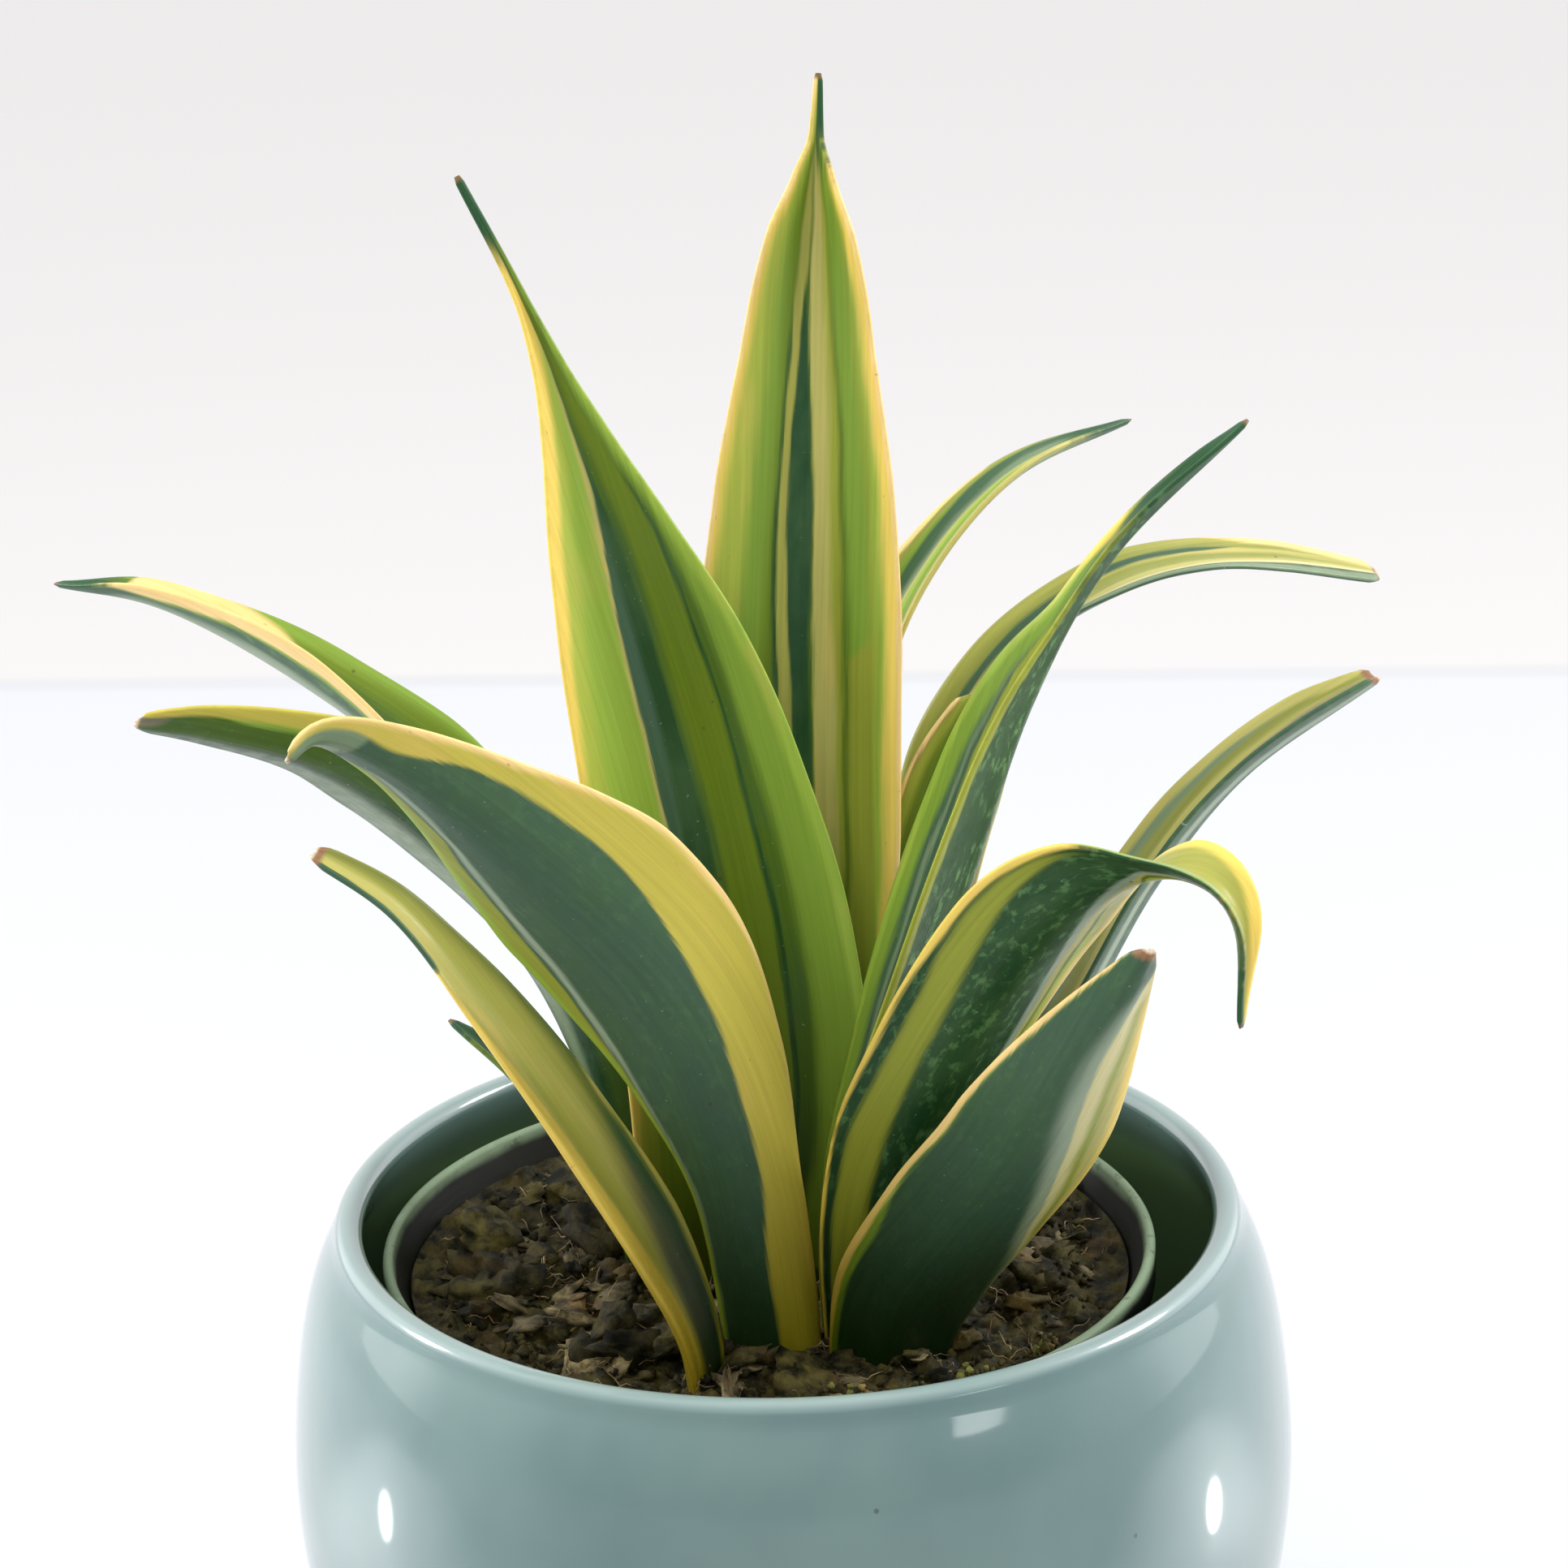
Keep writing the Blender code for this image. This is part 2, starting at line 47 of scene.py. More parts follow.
# Leaves, as in the part's source
ROSETTE_CENTRE = np.array([2.0, -12.0, 0.0])
BLADE_BASE_THICKNESS = 2.2
BLADE_TIP_THICKNESS = 0.9
BLADE_MARGIN_THICKNESS = 0.75
FOLD_SOFTNESS = 0.35
NARROW_BLADE = 4.0
NARROW_BLADE_FOLD = 60.0
MIDRIB_SAMPLES = 400
SPAN_SAMPLES = 80
LEAVES = {
    "leaf_tall_back": {
        "heading": 90,
        "route": [(20, -3, 86), (24, -2, 147), (27, -2, 187), (30, -3.8, 221), (33, -5, 247),
            (35, -7, 282)],
        "width": [(0, 14), (0.15, 21), (0.3, 28), (0.42, 33), (0.55, 33.5), (0.68, 29.5), (0.8, 21.5),
            (0.88, 17), (0.925, 8.5), (0.955, 2.5), (1, 1.2)],
        "turn": [(0, 0), (1, -6)],
        "fold": [(0, 45), (0.2, 34), (0.5, 25), (0.8, 27), (0.92, 50), (1, 20)],
    },
    "leaf_tall_left": {
        "heading": 180,
        "route": [(10, -11, 86), (9, -12, 135), (12, -14, 159), (18, -16.5, 187.5), (26, -18, 215),
            (37, -21, 251), (46, -22, 270.5)],
        "width": [(0, 20), (0.12, 34), (0.22, 42), (0.36, 42), (0.5, 38), (0.6, 32.5), (0.7, 22),
            (0.78, 12), (0.84, 6), (0.92, 2), (1, 1.2)],
        "turn": [(0, -78), (1, -74)],
        "fold": [(0, 45), (0.3, 30), (0.6, 34), (0.8, 36), (0.9, 45), (1, 20)],
    },
    "leaf_right_upright": {
        "heading": 5,
        "route": [(6.5, -7, 86), (7.5, -6, 120), (14.8, -5, 140), (25.3, -4, 167.5), (35.3, -3.5, 196),
            (46.8, -6, 217.5), (67, -3.5, 236)],
        "width": [(0, 11), (0.2, 16), (0.4, 28.5), (0.5, 31), (0.6, 27), (0.7, 18), (0.78, 8), (0.84, 6.5),
            (0.95, 4.5), (1, 1.2)],
        "turn": [(0, -10), (1, 4)],
        "fold": [(0, 45), (0.5, 38), (0.9, 48), (1, 20)],
    },
    "leaf_right_arching": {
        "heading": -30,
        "route": [(15.5, -7.8, 86), (18.5, -8, 123.5), (30.5, -8.5, 147.5), (44.5, -8.5, 169),
            (53.5, -8.5, 177.5), (61.5, -8.5, 181.5), (68, -9, 183), (72.5, -9, 181.5), (75.5, -9, 177),
            (76, -9, 162)],
        "width": [(0, 12.5), (0.26, 18), (0.36, 22), (0.5, 24.5), (0.62, 25), (0.7, 23), (0.77, 19),
            (0.84, 13), (0.89, 8), (0.94, 4), (1, 1.2)],
        "turn": [(0, -45), (0.5, -48), (0.65, -46), (0.72, -36), (0.78, -16), (0.84, 0), (1, 8)],
        "fold": [(0, 40), (0.4, 30), (0.8, 30), (0.92, 40), (1, 20)],
    },
    "leaf_front_left": {
        "heading": 212,
        "route": [(13, 17, 86), (16, 13.5, 124), (22, 12.5, 146), (31, 11, 164), (48, 8.5, 184),
            (68, 7, 202.5), (78, 5.5, 207.5), (83, 5.5, 205)],
        "width": [(0, 13), (0.1, 16), (0.26, 17.5), (0.4, 25), (0.55, 32), (0.62, 32.5), (0.7, 28),
            (0.79, 20), (0.875, 13), (0.94, 8), (1, 3)],
        "turn": [(0, 80), (1, 50)],
        "fold": [(0, 26), (1, 28)],
    },
    "leaf_front_right": {
        "heading": -42,
        "route": [(21.5, -7.5, 86), (27, -8, 108), (37, -6.5, 123), (47, -6, 136), (61, -8, 158),
            (71.5, -7.5, 177)],
        "width": [(0, 16), (0.15, 20), (0.26, 24.5), (0.45, 27), (0.6, 26), (0.7, 23), (0.8, 18),
            (0.87, 13.5), (1, 3.5)],
        "turn": [(0, -46), (1, -41)],
        "fold": [(0, 25), (1, 36)],
    },
    "leaf_left_upper": {
        "heading": 195,
        "route": [(21, -17, 86), (21.5, -17.5, 115), (31, -18, 151), (47.5, -18, 173), (65, -16, 188.5),
            (82.5, -13, 196.5), (93.5, -12, 199.5)],
        "width": [(0, 12), (0.25, 15.5), (0.35, 21), (0.5, 27), (0.62, 27), (0.72, 25.5), (0.82, 16),
            (0.92, 10.5), (1, 4)],
        "turn": [(0, 42), (1, 54)],
        "fold": [(0, 34), (1, 24)],
    },
    "leaf_left_long": {
        "heading": 160,
        "route": [(24.5, -16.5, 86), (27, -14, 112.5), (37, -11.5, 145), (58, -9, 173), (80, -8.5, 188.5),
            (106, -8, 200.5), (125, -8.5, 202.5)],
        "width": [(0, 13), (0.3, 17), (0.5, 15.5), (0.62, 19), (0.72, 19), (0.87, 10.5), (0.93, 7.5),
            (1, 1.2)],
        "turn": [(0, 17), (0.3, 12), (0.5, -16), (0.75, 16), (1, 0)],
        "fold": [(0, 40), (0.5, 40), (0.9, 50), (1, 24)],
    },
    "leaf_left_low": {
        "heading": 185,
        "route": [(19, 25.5, 86), (18.7, 23.8, 103.5), (25, 21, 120), (35, 17.5, 137.5), (47, 14, 156.5),
            (58.5, 12.5, 172.5), (70, 10, 180.5)],
        "width": [(0, 11), (0.15, 12), (0.35, 17), (0.55, 16), (0.7, 13), (0.82, 8.5), (1, 4.5)],
        "turn": [(0, -28), (1, -30)],
        "fold": [(0, 30), (1, 24)],
    },
    "leaf_left_small": {
        "heading": 152,
        "route": [(34.5, -12.5, 86), (38, -10.5, 105.5), (53, -7, 123.5), (66, -6.5, 132.5)],
        "width": [(0, 8), (0.4, 11), (0.7, 9.5), (0.9, 5), (1, 1.2)],
        "turn": [(0, 8), (1, 6)],
        "fold": [(0, 35), (1, 28)],
    },
    "leaf_right_low": {
        "heading": 12,
        "route": [(19, -1, 86), (25, -1, 113), (44, -1, 143), (56, 0, 162.5), (69.5, 0, 178),
            (91.5, 0, 191.5)],
        "width": [(0, 13), (0.3, 19), (0.55, 19), (0.7, 17.5), (0.8, 14.5), (0.9, 13), (1, 6)],
        "turn": [(0, -10), (1, -3)],
        "fold": [(0, 35), (0.5, 34), (1, 42)],
    },
    "leaf_right_back": {
        "heading": 45,
        "route": [(25.5, 20.5, 86), (28, 18, 144), (35, 15, 189), (43.5, 12.5, 204), (59.5, 9.5, 216),
            (86.5, 7.5, 220.5)],
        "width": [(0, 8), (0.3, 11), (0.42, 15), (0.5, 17), (0.6, 15.5), (0.8, 10), (0.9, 7), (1, 1.2)],
        "turn": [(0, -14), (1, -9)],
        "fold": [(0, 35), (0.5, 32), (1, 30)],
    },
    "leaf_right_long": {
        "heading": 28,
        "route": [(30.5, 26.5, 86), (29.5, 24.5, 118), (35.5, 20, 161.5), (47, 17, 188), (64.5, 15, 199),
            (77, 13, 201.5), (93.5, 12, 200), (113.5, 10, 195)],
        "width": [(0, 8), (0.25, 9), (0.38, 12), (0.5, 18.5), (0.6, 16), (0.75, 17), (0.88, 12), (1, 5.5)],
        "turn": [(0, -8), (0.55, -11), (0.75, -1), (1, 24)],
        "fold": [(0, 35), (0.5, 42), (0.75, 16), (1, 10)],
    },
    "leaf_right_short": {
        "heading": 25,
        "route": [(18, 19.5, 86), (23, 17.5, 124), (29, 14.5, 156.5), (34, 11.5, 176), (40, 10.5, 187)],
        "width": [(0, 10), (0.4, 14), (0.7, 16), (0.85, 15.5), (1, 11)],
        "turn": [(0, 60), (1, 60)],
        "fold": [(0, 20), (1, 15)],
    },
}

# Fine leaf mesh: crowding draws its columns toward the margins, and a dry tip has torn corners
LEAF_PITCH = 1.1
LEAF_COLUMNS = 29
MARGIN_CROWDING = 0.45
MARGIN_ARC = (45, 90, 135)
MARGIN_ROUND = 0.3
LEAST_HALF_WIDTH = 0.2
TIP_ROUND = 1.2
TORN_CORNER = 1.6
TORN_EDGE = 0.7
WAVE_HEIGHT = 0.22
WAVE_LENGTH = 26.0

# Leaf looks: how far stripes wander in mm, the stretches above the peat over which a leaf is darkened,
# partly its own darker base and partly painted shade, and the range of its roughness
BROAD_WANDER = 1.5
FIBRE_WANDER = 0.8
LOW_STRETCH = (5.0, 84.0)
FOOT_STRETCH = (8.0, 44.0)
LEAF_ROUGHNESS = (0.3, 0.44)

# Colours by name, as red, green and blue from 0 to 255
PALETTE = {
    "peach": (236, 204, 136),
    "butter": (230, 202, 96),
    "gold": (190, 178, 74),
    "cream": (212, 204, 146),
    "khaki": (182, 176, 98),
    "straw": (160, 160, 74),
    "yellowgreen": (168, 180, 70),
    "pear": (146, 154, 54),
    "lime": (146, 174, 64),
    "leaf": (124, 154, 54),
    "olive": (100, 122, 24),
    "drab": (140, 144, 66),
    "moss": (74, 102, 26),
    "umber": (88, 86, 44),
    "deep": (30, 70, 26),
    "dark": (32, 70, 38),
    "slate": (64, 93, 70),
    "sage": (118, 138, 106),
    # Painted sheen: a pale grey-green laid where a leaf's wax catches the light
    "silver": (150, 166, 142),
    "dusk": (146, 130, 116),
    "dry": (140, 104, 74),
    "husk": (208, 192, 166),
    "mottle": (66, 98, 58),
    "marble": (96, 138, 84),
    "blush": (222, 178, 104),
    "fleck": (176, 120, 66),
    "pit": (70, 60, 34),
    "dust": (190, 205, 190),
    # Tints multiplied over the lower blades: partly their own darker base, partly painted shade near the
    # peat
    "pale_base_shade": (158, 153, 38),
    "dark_base_shade": (62, 96, 34),
    "foot": (100, 118, 48),
    "spike": (42, 82, 48),
    "spike_end": (112, 92, 56),
    "glaze": (95, 121, 120),
    "glaze_light": (107, 133, 130),
    "glaze_grain": (104, 128, 130),
    # Painted shade and green reflection of the leaves, inside the pot
    "glaze_inside_shade": (94, 124, 82),
    # Painted highlight on the top of the lip
    "glaze_lip_highlight": (180, 196, 192),
    "pinhole": (88, 108, 108),
    "speck": (64, 76, 78),
    "plastic": (112, 132, 104),
    "plastic_light": (134, 154, 124),
    "plastic_dirt": (60, 50, 38),
    "plastic_scuff": (160, 176, 156),
    # Painted shade inside the pots
    "plastic_shade": (16, 16, 8),
    "table": (247, 249, 253),
    "floor": (251, 249, 248),
    # Painted shadow line along the table's edge
    "edge_shadow": (226, 226, 229),
    "black": (0, 0, 0),
}

# Where two colours stand together, as in lime/leaf, the first is for the upper face and the second for the
# lower. An empty one keeps what is there.
# tip: how the leaf ends, how many mm of it are dark or dry, and the side a dark spike keeps to (0 for both).
# marbling: how strongly the dark green is marbled. ground: the colour at the margin where across is -1.
# stripes: they lie over each other from the margin at -1 to the margin at 1. Each has its colours, the
# softness of its first edge in mm, and that edge's route as (place along, place across).
# Stripes in the silvery colour are painted sheen.
MARKINGS = {
    "leaf_tall_back": {"tip": ("spike", 15, -1), "marbling": 0.2, "ground": "peach", "stripes": [
        ("butter", 0.3, [(0, -0.99), (1, -0.98)]),
        ("lime/leaf", 1.1, [(0, -0.84), (0.6, -0.86), (0.8, -0.86), (0.88, -0.78), (0.94, -0.8)]),
        ("pear/leaf", 1.2, [(0, -0.8), (1, -0.76)]),
        ("leaf", 1.2, [(0, 1.6), (0.45, 1.6), (0.58, -0.72), (1, -0.7)]),
        ("moss", 0.9, [(0, -0.52), (0.5, -0.5), (0.62, -0.46), (0.75, -0.43), (0.82, -0.38)]),
        ("pear/khaki", 0.7, [(0, -0.48), (0.5, -0.45), (0.62, -0.41), (0.75, -0.38), (0.82, -0.36)]),
        ("khaki", 0.9, [(0, -0.4), (0.5, -0.37), (0.6, -0.3), (0.9, -0.24)]),
        ("moss/slate", 0.4, [(0, -0.16), (0.5, -0.13), (0.6, -0.1), (0.7, -0.08), (0.8, 0)]),
        ("dark", 0.4, [(0, -0.13), (0.5, -0.1), (0.6, -0.07), (0.7, -0.05), (0.8, 0.03), (0.85, 0.1)]),
        ("straw/khaki", 0.4, [(0, 0.04), (0.5, 0.09), (0.6, 0.15), (0.7, 0.2), (0.8, 0.16), (0.86, 0.05)]),
        ("deep", 0.35, [(0, 0.16), (0.5, 0.21), (0.6, 0.27), (0.7, 0.31), (0.8, 0.28), (0.87, 0.32)]),
        ("olive/moss", 0.5, [(0, 0.2), (0.5, 0.25), (0.6, 0.32), (0.7, 0.36), (0.8, 0.32), (0.87, 0.24)]),
        ("leaf/lime", 1.6, [(0, 0.42), (1, 0.38)]),
        ("yellowgreen", 1.8, [(0, 0.66), (1, 0.64)]),
        ("butter", 1, [(0, 0.94), (0.7, 0.92), (0.85, 0.88), (1, 0.84)]),
        ("peach", 0.3, [(0, 1), (1, 0.98)]),
    ]},
    "leaf_tall_left": {"tip": ("spike", 17, 0), "marbling": 0.1, "ground": "lime", "stripes": [
        ("leaf", 0.8, [(0, -0.94), (1, -0.9)]),
        ("moss/deep", 1.2, [(0, -0.62), (0.5, -0.64), (0.66, -0.78), (0.72, -0.86), (0.76, -0.8)]),
        ("deep", 0.3, [(0, -0.45), (0.4, -0.48), (0.5, -0.51), (0.6, -0.57), (0.66, -0.68), (0.72, -0.79),
            (0.76, -0.7)]),
        ("olive/moss", 0.5, [(0, -0.41), (0.4, -0.44), (0.5, -0.47), (0.6, -0.53), (0.66, -0.64),
            (0.72, -0.75), (0.76, -0.75)]),
        ("moss", 0.9, [(0, -0.16), (0.5, -0.13), (0.6, -0.18), (0.75, -0.32), (0.8, -0.3)]),
        ("deep", 0.5, [(0, -0.12), (0.5, -0.07), (0.6, -0.11), (0.7, -0.16), (0.76, -0.12), (0.8, -0.04)]),
        ("slate", 0.8, [(0, 0.2), (0.4, 0.14), (0.5, 0.1), (0.6, 0.05), (0.68, 0), (0.75, -0.1),
            (0.8, -0.14)]),
        ("khaki", 0.3, [(0, 0.16), (0.4, 0.23), (0.5, 0.24), (0.6, 0.21), (0.68, 0.11), (0.75, -0.08),
            (0.8, -0.14)]),
        ("lime", 0.5, [(0, 0.21), (0.5, 0.28), (0.6, 0.25), (0.7, 0.14), (0.8, -0.04)]),
        ("yellowgreen/butter", 1.4, [(0, 0.82), (0.5, 0.78), (0.7, 0.6), (0.82, 0.1)]),
        ("butter", 0.9, [(0, 0.97), (0.5, 0.96), (0.62, 0.9), (0.72, 0.78), (0.8, 0.55), (0.86, 0.15),
            (0.92, -0.2)]),
    ]},
    "leaf_right_upright": {"tip": ("spike", 22, 0), "marbling": 1.1, "ground": "pear", "stripes": [
        ("slate/deep", 0.35, [(0, -0.93), (0.7, -0.93), (0.8, -0.96), (0.9, -1.1)]),
        ("moss/deep", 0.8, [(0, -0.7), (0.7, -0.6), (1, -0.6)]),
        ("yellowgreen/deep", 0.3, [(0, 0.46), (0.5, 0.42), (0.62, 0.4), (0.74, 0.3), (0.82, 0.5)]),
        ("pear/deep", 0.4, [(0, 0.5), (0.5, 0.47), (0.62, 0.46), (0.74, 0.4), (0.82, 0.5)]),
        ("slate/deep", 0.35, [(0, 0.58), (0.5, 0.56), (0.62, 0.56), (0.74, 0.56), (0.82, 0.5)]),
        ("sage/deep", 0.4, [(0, 0.66), (0.5, 0.64), (0.62, 0.62), (0.74, 0.6), (0.82, 0.5)]),
        ("slate/deep", 0.5, [(0, 0.7), (0.5, 0.69), (0.62, 0.66), (0.74, 0.62), (0.82, 0.5)]),
        ("leaf", 0.8, [(0, 0.78), (0.5, 0.77), (0.66, 0.68), (0.8, 0.5), (0.86, 0.7), (0.9, 1.1)]),
        ("lime", 0.4, [(0, 0.92), (0.62, 0.92), (0.8, 0.8), (0.86, 0.8), (0.9, 1.1)]),
        ("butter", 0.7, [(0, 1.1), (0.77, 1.06), (0.81, 0.9), (0.85, 0.6), (0.87, 0.85), (0.9, 1.1)]),
    ]},
    "leaf_right_arching": {"tip": ("spike", 15, -1), "marbling": 0.9, "ground": "butter", "stripes": [
        ("lime/dark", 0.4, [(0, -0.97), (0.4, -0.97), (0.5, -0.95), (0.58, -0.92), (0.7, -0.93),
            (0.76, -1.05)]),
        ("khaki/pear", 0.7, [(0, -0.78), (0.3, -0.78), (0.4, -0.76), (0.5, -0.76), (0.57, -0.86),
            (0.7, -0.9)]),
        ("khaki/pear", 1, [(0, -0.4), (0.3, -0.5), (0.4, -0.58), (0.6, -0.7), (0.7, -0.87)]),
        ("silver/dark", 0.8, [(0, -0.2), (0.3, -0.24), (0.4, -0.34), (0.5, -0.42), (0.6, -0.52),
            (0.68, -0.7), (0.76, -0.98)]),
        ("khaki/deep", 1.4, [(0, 0.05), (1, 0.05)]),
        ("silver", 0.5, [(0, 0.76), (0.5, 0.62), (0.6, 0.46), (0.7, 0.08), (0.76, -0.25), (0.79, -0.6)]),
        ("khaki", 0.3, [(0, 0.86), (0.5, 0.74), (0.6, 0.6), (0.7, 0.26), (0.76, -0.1), (0.79, -0.45)]),
        ("pear/olive", 0.3, [(0, 0.9), (0.5, 0.8), (0.6, 0.7), (0.7, 0.42), (0.76, 0.1), (0.79, -0.4)]),
        ("yellowgreen", 0.4, [(0, 0.92), (0.5, 0.84), (0.6, 0.76), (0.7, 0.5), (0.76, 0.2), (0.79, -0.3)]),
        ("straw", 0.8, [(0, 1.1), (0.6, 1), (0.66, 0.7), (0.7, 0.5), (0.76, 0.25), (0.79, -0.05),
            (0.9, -0.2)]),
        ("straw", 1.2, [(0, 1.1), (0.66, 1), (0.7, 0.7), (0.76, 0.5), (0.8, 0.35), (0.9, 0.2)]),
        ("butter", 0.8, [(0, 1), (0.5, 0.94), (0.6, 0.88), (0.7, 0.86), (0.76, 0.84), (0.82, 0.8),
            (0.9, 0.5)]),
    ]},
    "leaf_front_left": {"tip": ("dry", 0.8, 0), "marbling": 0.2, "ground": "khaki/lime", "stripes": [
        ("drab/pear", 0.6, [(0, -0.97), (0.5, -0.95), (0.9, -0.9)]),
        ("slate", 0.35, [(0, -0.95), (0.3, -0.96), (0.4, -0.94), (0.5, -0.88), (0.6, -0.8), (0.7, -0.76),
            (0.8, -0.74), (0.9, -0.8), (0.93, -1)]),
        ("silver", 0.4, [(0, -0.95), (0.3, -0.95), (0.4, -0.92), (0.5, -0.85), (0.6, -0.76), (0.7, -0.71),
            (0.8, -0.69), (0.9, -0.76), (0.94, -1)]),
        ("slate", 0.5, [(0, -0.95), (0.3, -0.93), (0.4, -0.89), (0.5, -0.8), (0.6, -0.69), (0.7, -0.62),
            (0.8, -0.58), (0.88, -0.66), (0.92, -0.9), (0.95, -1.1)]),
        ("sage", 1.6, [(0, 1.6), (0.9, 1.6), (0.945, -1.1), (1, -1.1)]),
        ("pear/gold", 0.45, [(0, 0), (0.2, 0), (0.3, 0.18), (0.4, 0.23), (0.5, 0.31), (0.6, 0.44),
            (0.7, 0.57), (0.8, 0.66), (0.86, 0.5), (0.9, 0.34), (0.94, 0.6), (1, 0.8)]),
        ("gold", 0.5, [(0, 0.04), (0.2, 0.05), (0.3, 0.23), (0.5, 0.36), (0.7, 0.62), (0.8, 0.7),
            (0.9, 0.5), (0.94, 0.7), (1, 0.9)]),
        ("gold", 1.2, [(0, 0.6), (0.5, 0.68), (0.7, 0.76), (0.9, 0.78)]),
        ("gold", 1, [(0, 0.76), (0.5, 0.82), (0.7, 0.86), (0.9, 0.86)]),
        ("peach", 0.6, [(0, 1.1), (0.4, 1), (0.7, 0.95), (0.9, 0.9)]),
    ]},
    "leaf_front_right": {"tip": ("dry", 1.8, 0), "marbling": 0.2, "ground": "peach", "stripes": [
        ("pear/leaf", 0.35, [(0, -0.97), (0.25, -0.95), (0.5, -0.95), (1, -0.94)]),
        ("slate", 0.5, [(0, -0.86), (0.3, -0.84), (0.42, -0.93), (1, -0.93)]),
        ("slate", 2.5, [(0, 1.1), (0.35, 0.8), (0.45, 0.3), (0.6, -0.3), (0.8, -0.5), (1, -0.6)]),
        ("silver", 1.6, [(0, 1.3), (0.33, 0.9), (0.4, 0.66), (0.5, 0.38), (0.6, 0.16), (0.7, 0.04),
            (0.8, -0.02), (0.88, 0.1), (0.93, 0.5), (0.97, 1.2)]),
        ("cream", 0.4, [(0, 1.25), (0.33, 0.98), (0.4, 0.8), (0.5, 0.58), (0.6, 0.38), (0.7, 0.27),
            (0.8, 0.2), (0.88, 0.3), (0.93, 0.6), (0.97, 1.2)]),
        ("straw/pear", 1, [(0, 1.3), (0.36, 0.98), (0.5, 0.72), (0.6, 0.56), (0.75, 0.5), (0.88, 0.6),
            (0.94, 1.2)]),
        ("khaki", 0.8, [(0, 1.3), (0.4, 0.98), (0.5, 0.84), (0.6, 0.7), (0.75, 0.66), (0.88, 0.7),
            (0.94, 1.2)]),
        ("peach/butter", 0.9, [(0, 1.3), (0.45, 0.97), (0.6, 0.9), (0.75, 0.84), (0.88, 0.86), (0.95, 1)]),
    ]},
    "leaf_left_upper": {"tip": ("dry", 0.8, 0), "marbling": 0.3, "ground": "butter", "stripes": [
        ("leaf/slate", 0.4, [(0, -0.94), (0.3, -0.96), (0.5, -1), (1, -1)]),
        ("deep/sage", 1.6, [(0, -0.7), (0.5, -0.86), (0.8, -0.94), (1, -0.9)]),
        ("moss/deep", 2, [(0, -0.5), (0.3, -0.4), (0.6, -0.25), (0.75, -0.2), (0.85, -0.6), (0.95, -0.9)]),
        ("moss", 1.5, [(0, 0), (0.7, 0), (0.9, -0.3)]),
        ("dusk", 1, [(0, 1.6), (0.94, 1.6), (0.97, 0.5), (0.99, 0.2)]),
        ("dark", 1, [(0, 1.1), (0.88, 1.1), (0.95, 0.66), (1, 0.6)]),
        ("leaf", 0.4, [(0, 0.86), (0.7, 0.74), (0.82, 0.54), (0.88, 0.52), (0.93, 0.74), (0.96, 1.2)]),
        ("lime", 0.5, [(0, 0.9), (0.7, 0.8), (0.82, 0.6), (0.88, 0.58), (0.93, 0.8), (0.96, 1.2)]),
        ("gold", 0.5, [(0, 0.95), (0.7, 0.9), (0.82, 0.72), (0.88, 0.66), (0.95, 0.7), (1, 0.8)]),
    ]},
    "leaf_left_long": {"tip": ("spike", 13, 0), "marbling": 0.7, "ground": "leaf/butter", "stripes": [
        ("olive/leaf", 1.2, [(0, -0.9), (0.6, -0.88), (0.78, -0.7), (0.88, -0.55), (0.93, -0.9)]),
        ("moss/sage", 1.6, [(0, -0.5), (0.7, -0.5), (0.85, -0.3), (0.93, -0.7)]),
        ("moss/silver", 1, [(0, 0.1), (1, 0.1)]),
        ("olive/slate", 1.2, [(0, 0.4), (1, 0.4)]),
        ("leaf", 0.5, [(0, 0.7), (0.66, 0.7), (0.8, 0.68), (0.9, 0.62), (0.94, 1)]),
        ("peach", 0.4, [(0, 0.79), (0.66, 0.78), (0.8, 0.76), (0.9, 0.72), (0.94, 1.05)]),
        ("peach/", 0.8, [(0, 1.2), (0.64, 0.9), (0.7, 0.2), (0.79, -0.8), (0.85, -1.1), (0.92, -1.1),
            (0.95, 1.2)]),
    ]},
    "leaf_left_low": {"tip": ("dry", 1.8, 0), "marbling": 0.2, "ground": "khaki/lime", "stripes": [
        ("drab/leaf", 0.8, [(0, -0.95), (1, -0.92)]),
        ("deep/dark", 0.8, [(0, -0.9), (0.35, -0.88), (0.5, -0.9), (0.6, -1.1), (1, -1.1)]),
        ("umber/dark", 1.4, [(0, -0.7), (0.35, -0.66), (0.5, -0.6), (0.6, -0.3), (0.66, 0.4), (1, 0.4)]),
        ("straw/moss", 2.4, [(0, -0.2), (0.2, -0.1), (0.35, -0.3), (0.5, -0.74), (0.6, -0.9), (1, -0.9)]),
        ("khaki/butter", 1.2, [(0, -0.3), (0.2, -0.1), (0.35, 0.2), (0.5, 0.3), (0.65, 0.2), (0.8, 0),
            (1, -0.4)]),
        ("butter", 0.7, [(0, -0.2), (0.2, 0.02), (0.35, 0.28), (0.5, 0.42), (0.65, 0.76), (0.75, 1.2)]),
        ("butter", 1.2, [(0, 0.7), (0.5, 0.74), (0.7, 0.88), (0.78, 1.2)]),
        ("slate", 0.3, [(0, 1.6), (0.72, 1.6), (0.8, 0.9), (1, 0.84)]),
    ]},
    "leaf_left_small": {"tip": ("spike", 6, 0), "marbling": 0.2, "ground": "leaf/lime", "stripes": [
        ("deep", 0.4, [(0, -0.95), (1, -0.9)]),
        ("dark", 1, [(0, 0), (1, 0)]),
        ("leaf", 0.5, [(0, 0.9), (1, 0.9)]),
    ]},
    "leaf_right_low": {"tip": ("dry", 1.8, 0), "marbling": 0.4, "ground": "slate", "stripes": [
        ("slate/silver", 0.7, [(0, -0.84), (0.6, -0.8), (0.85, -0.7), (1, -0.6)]),
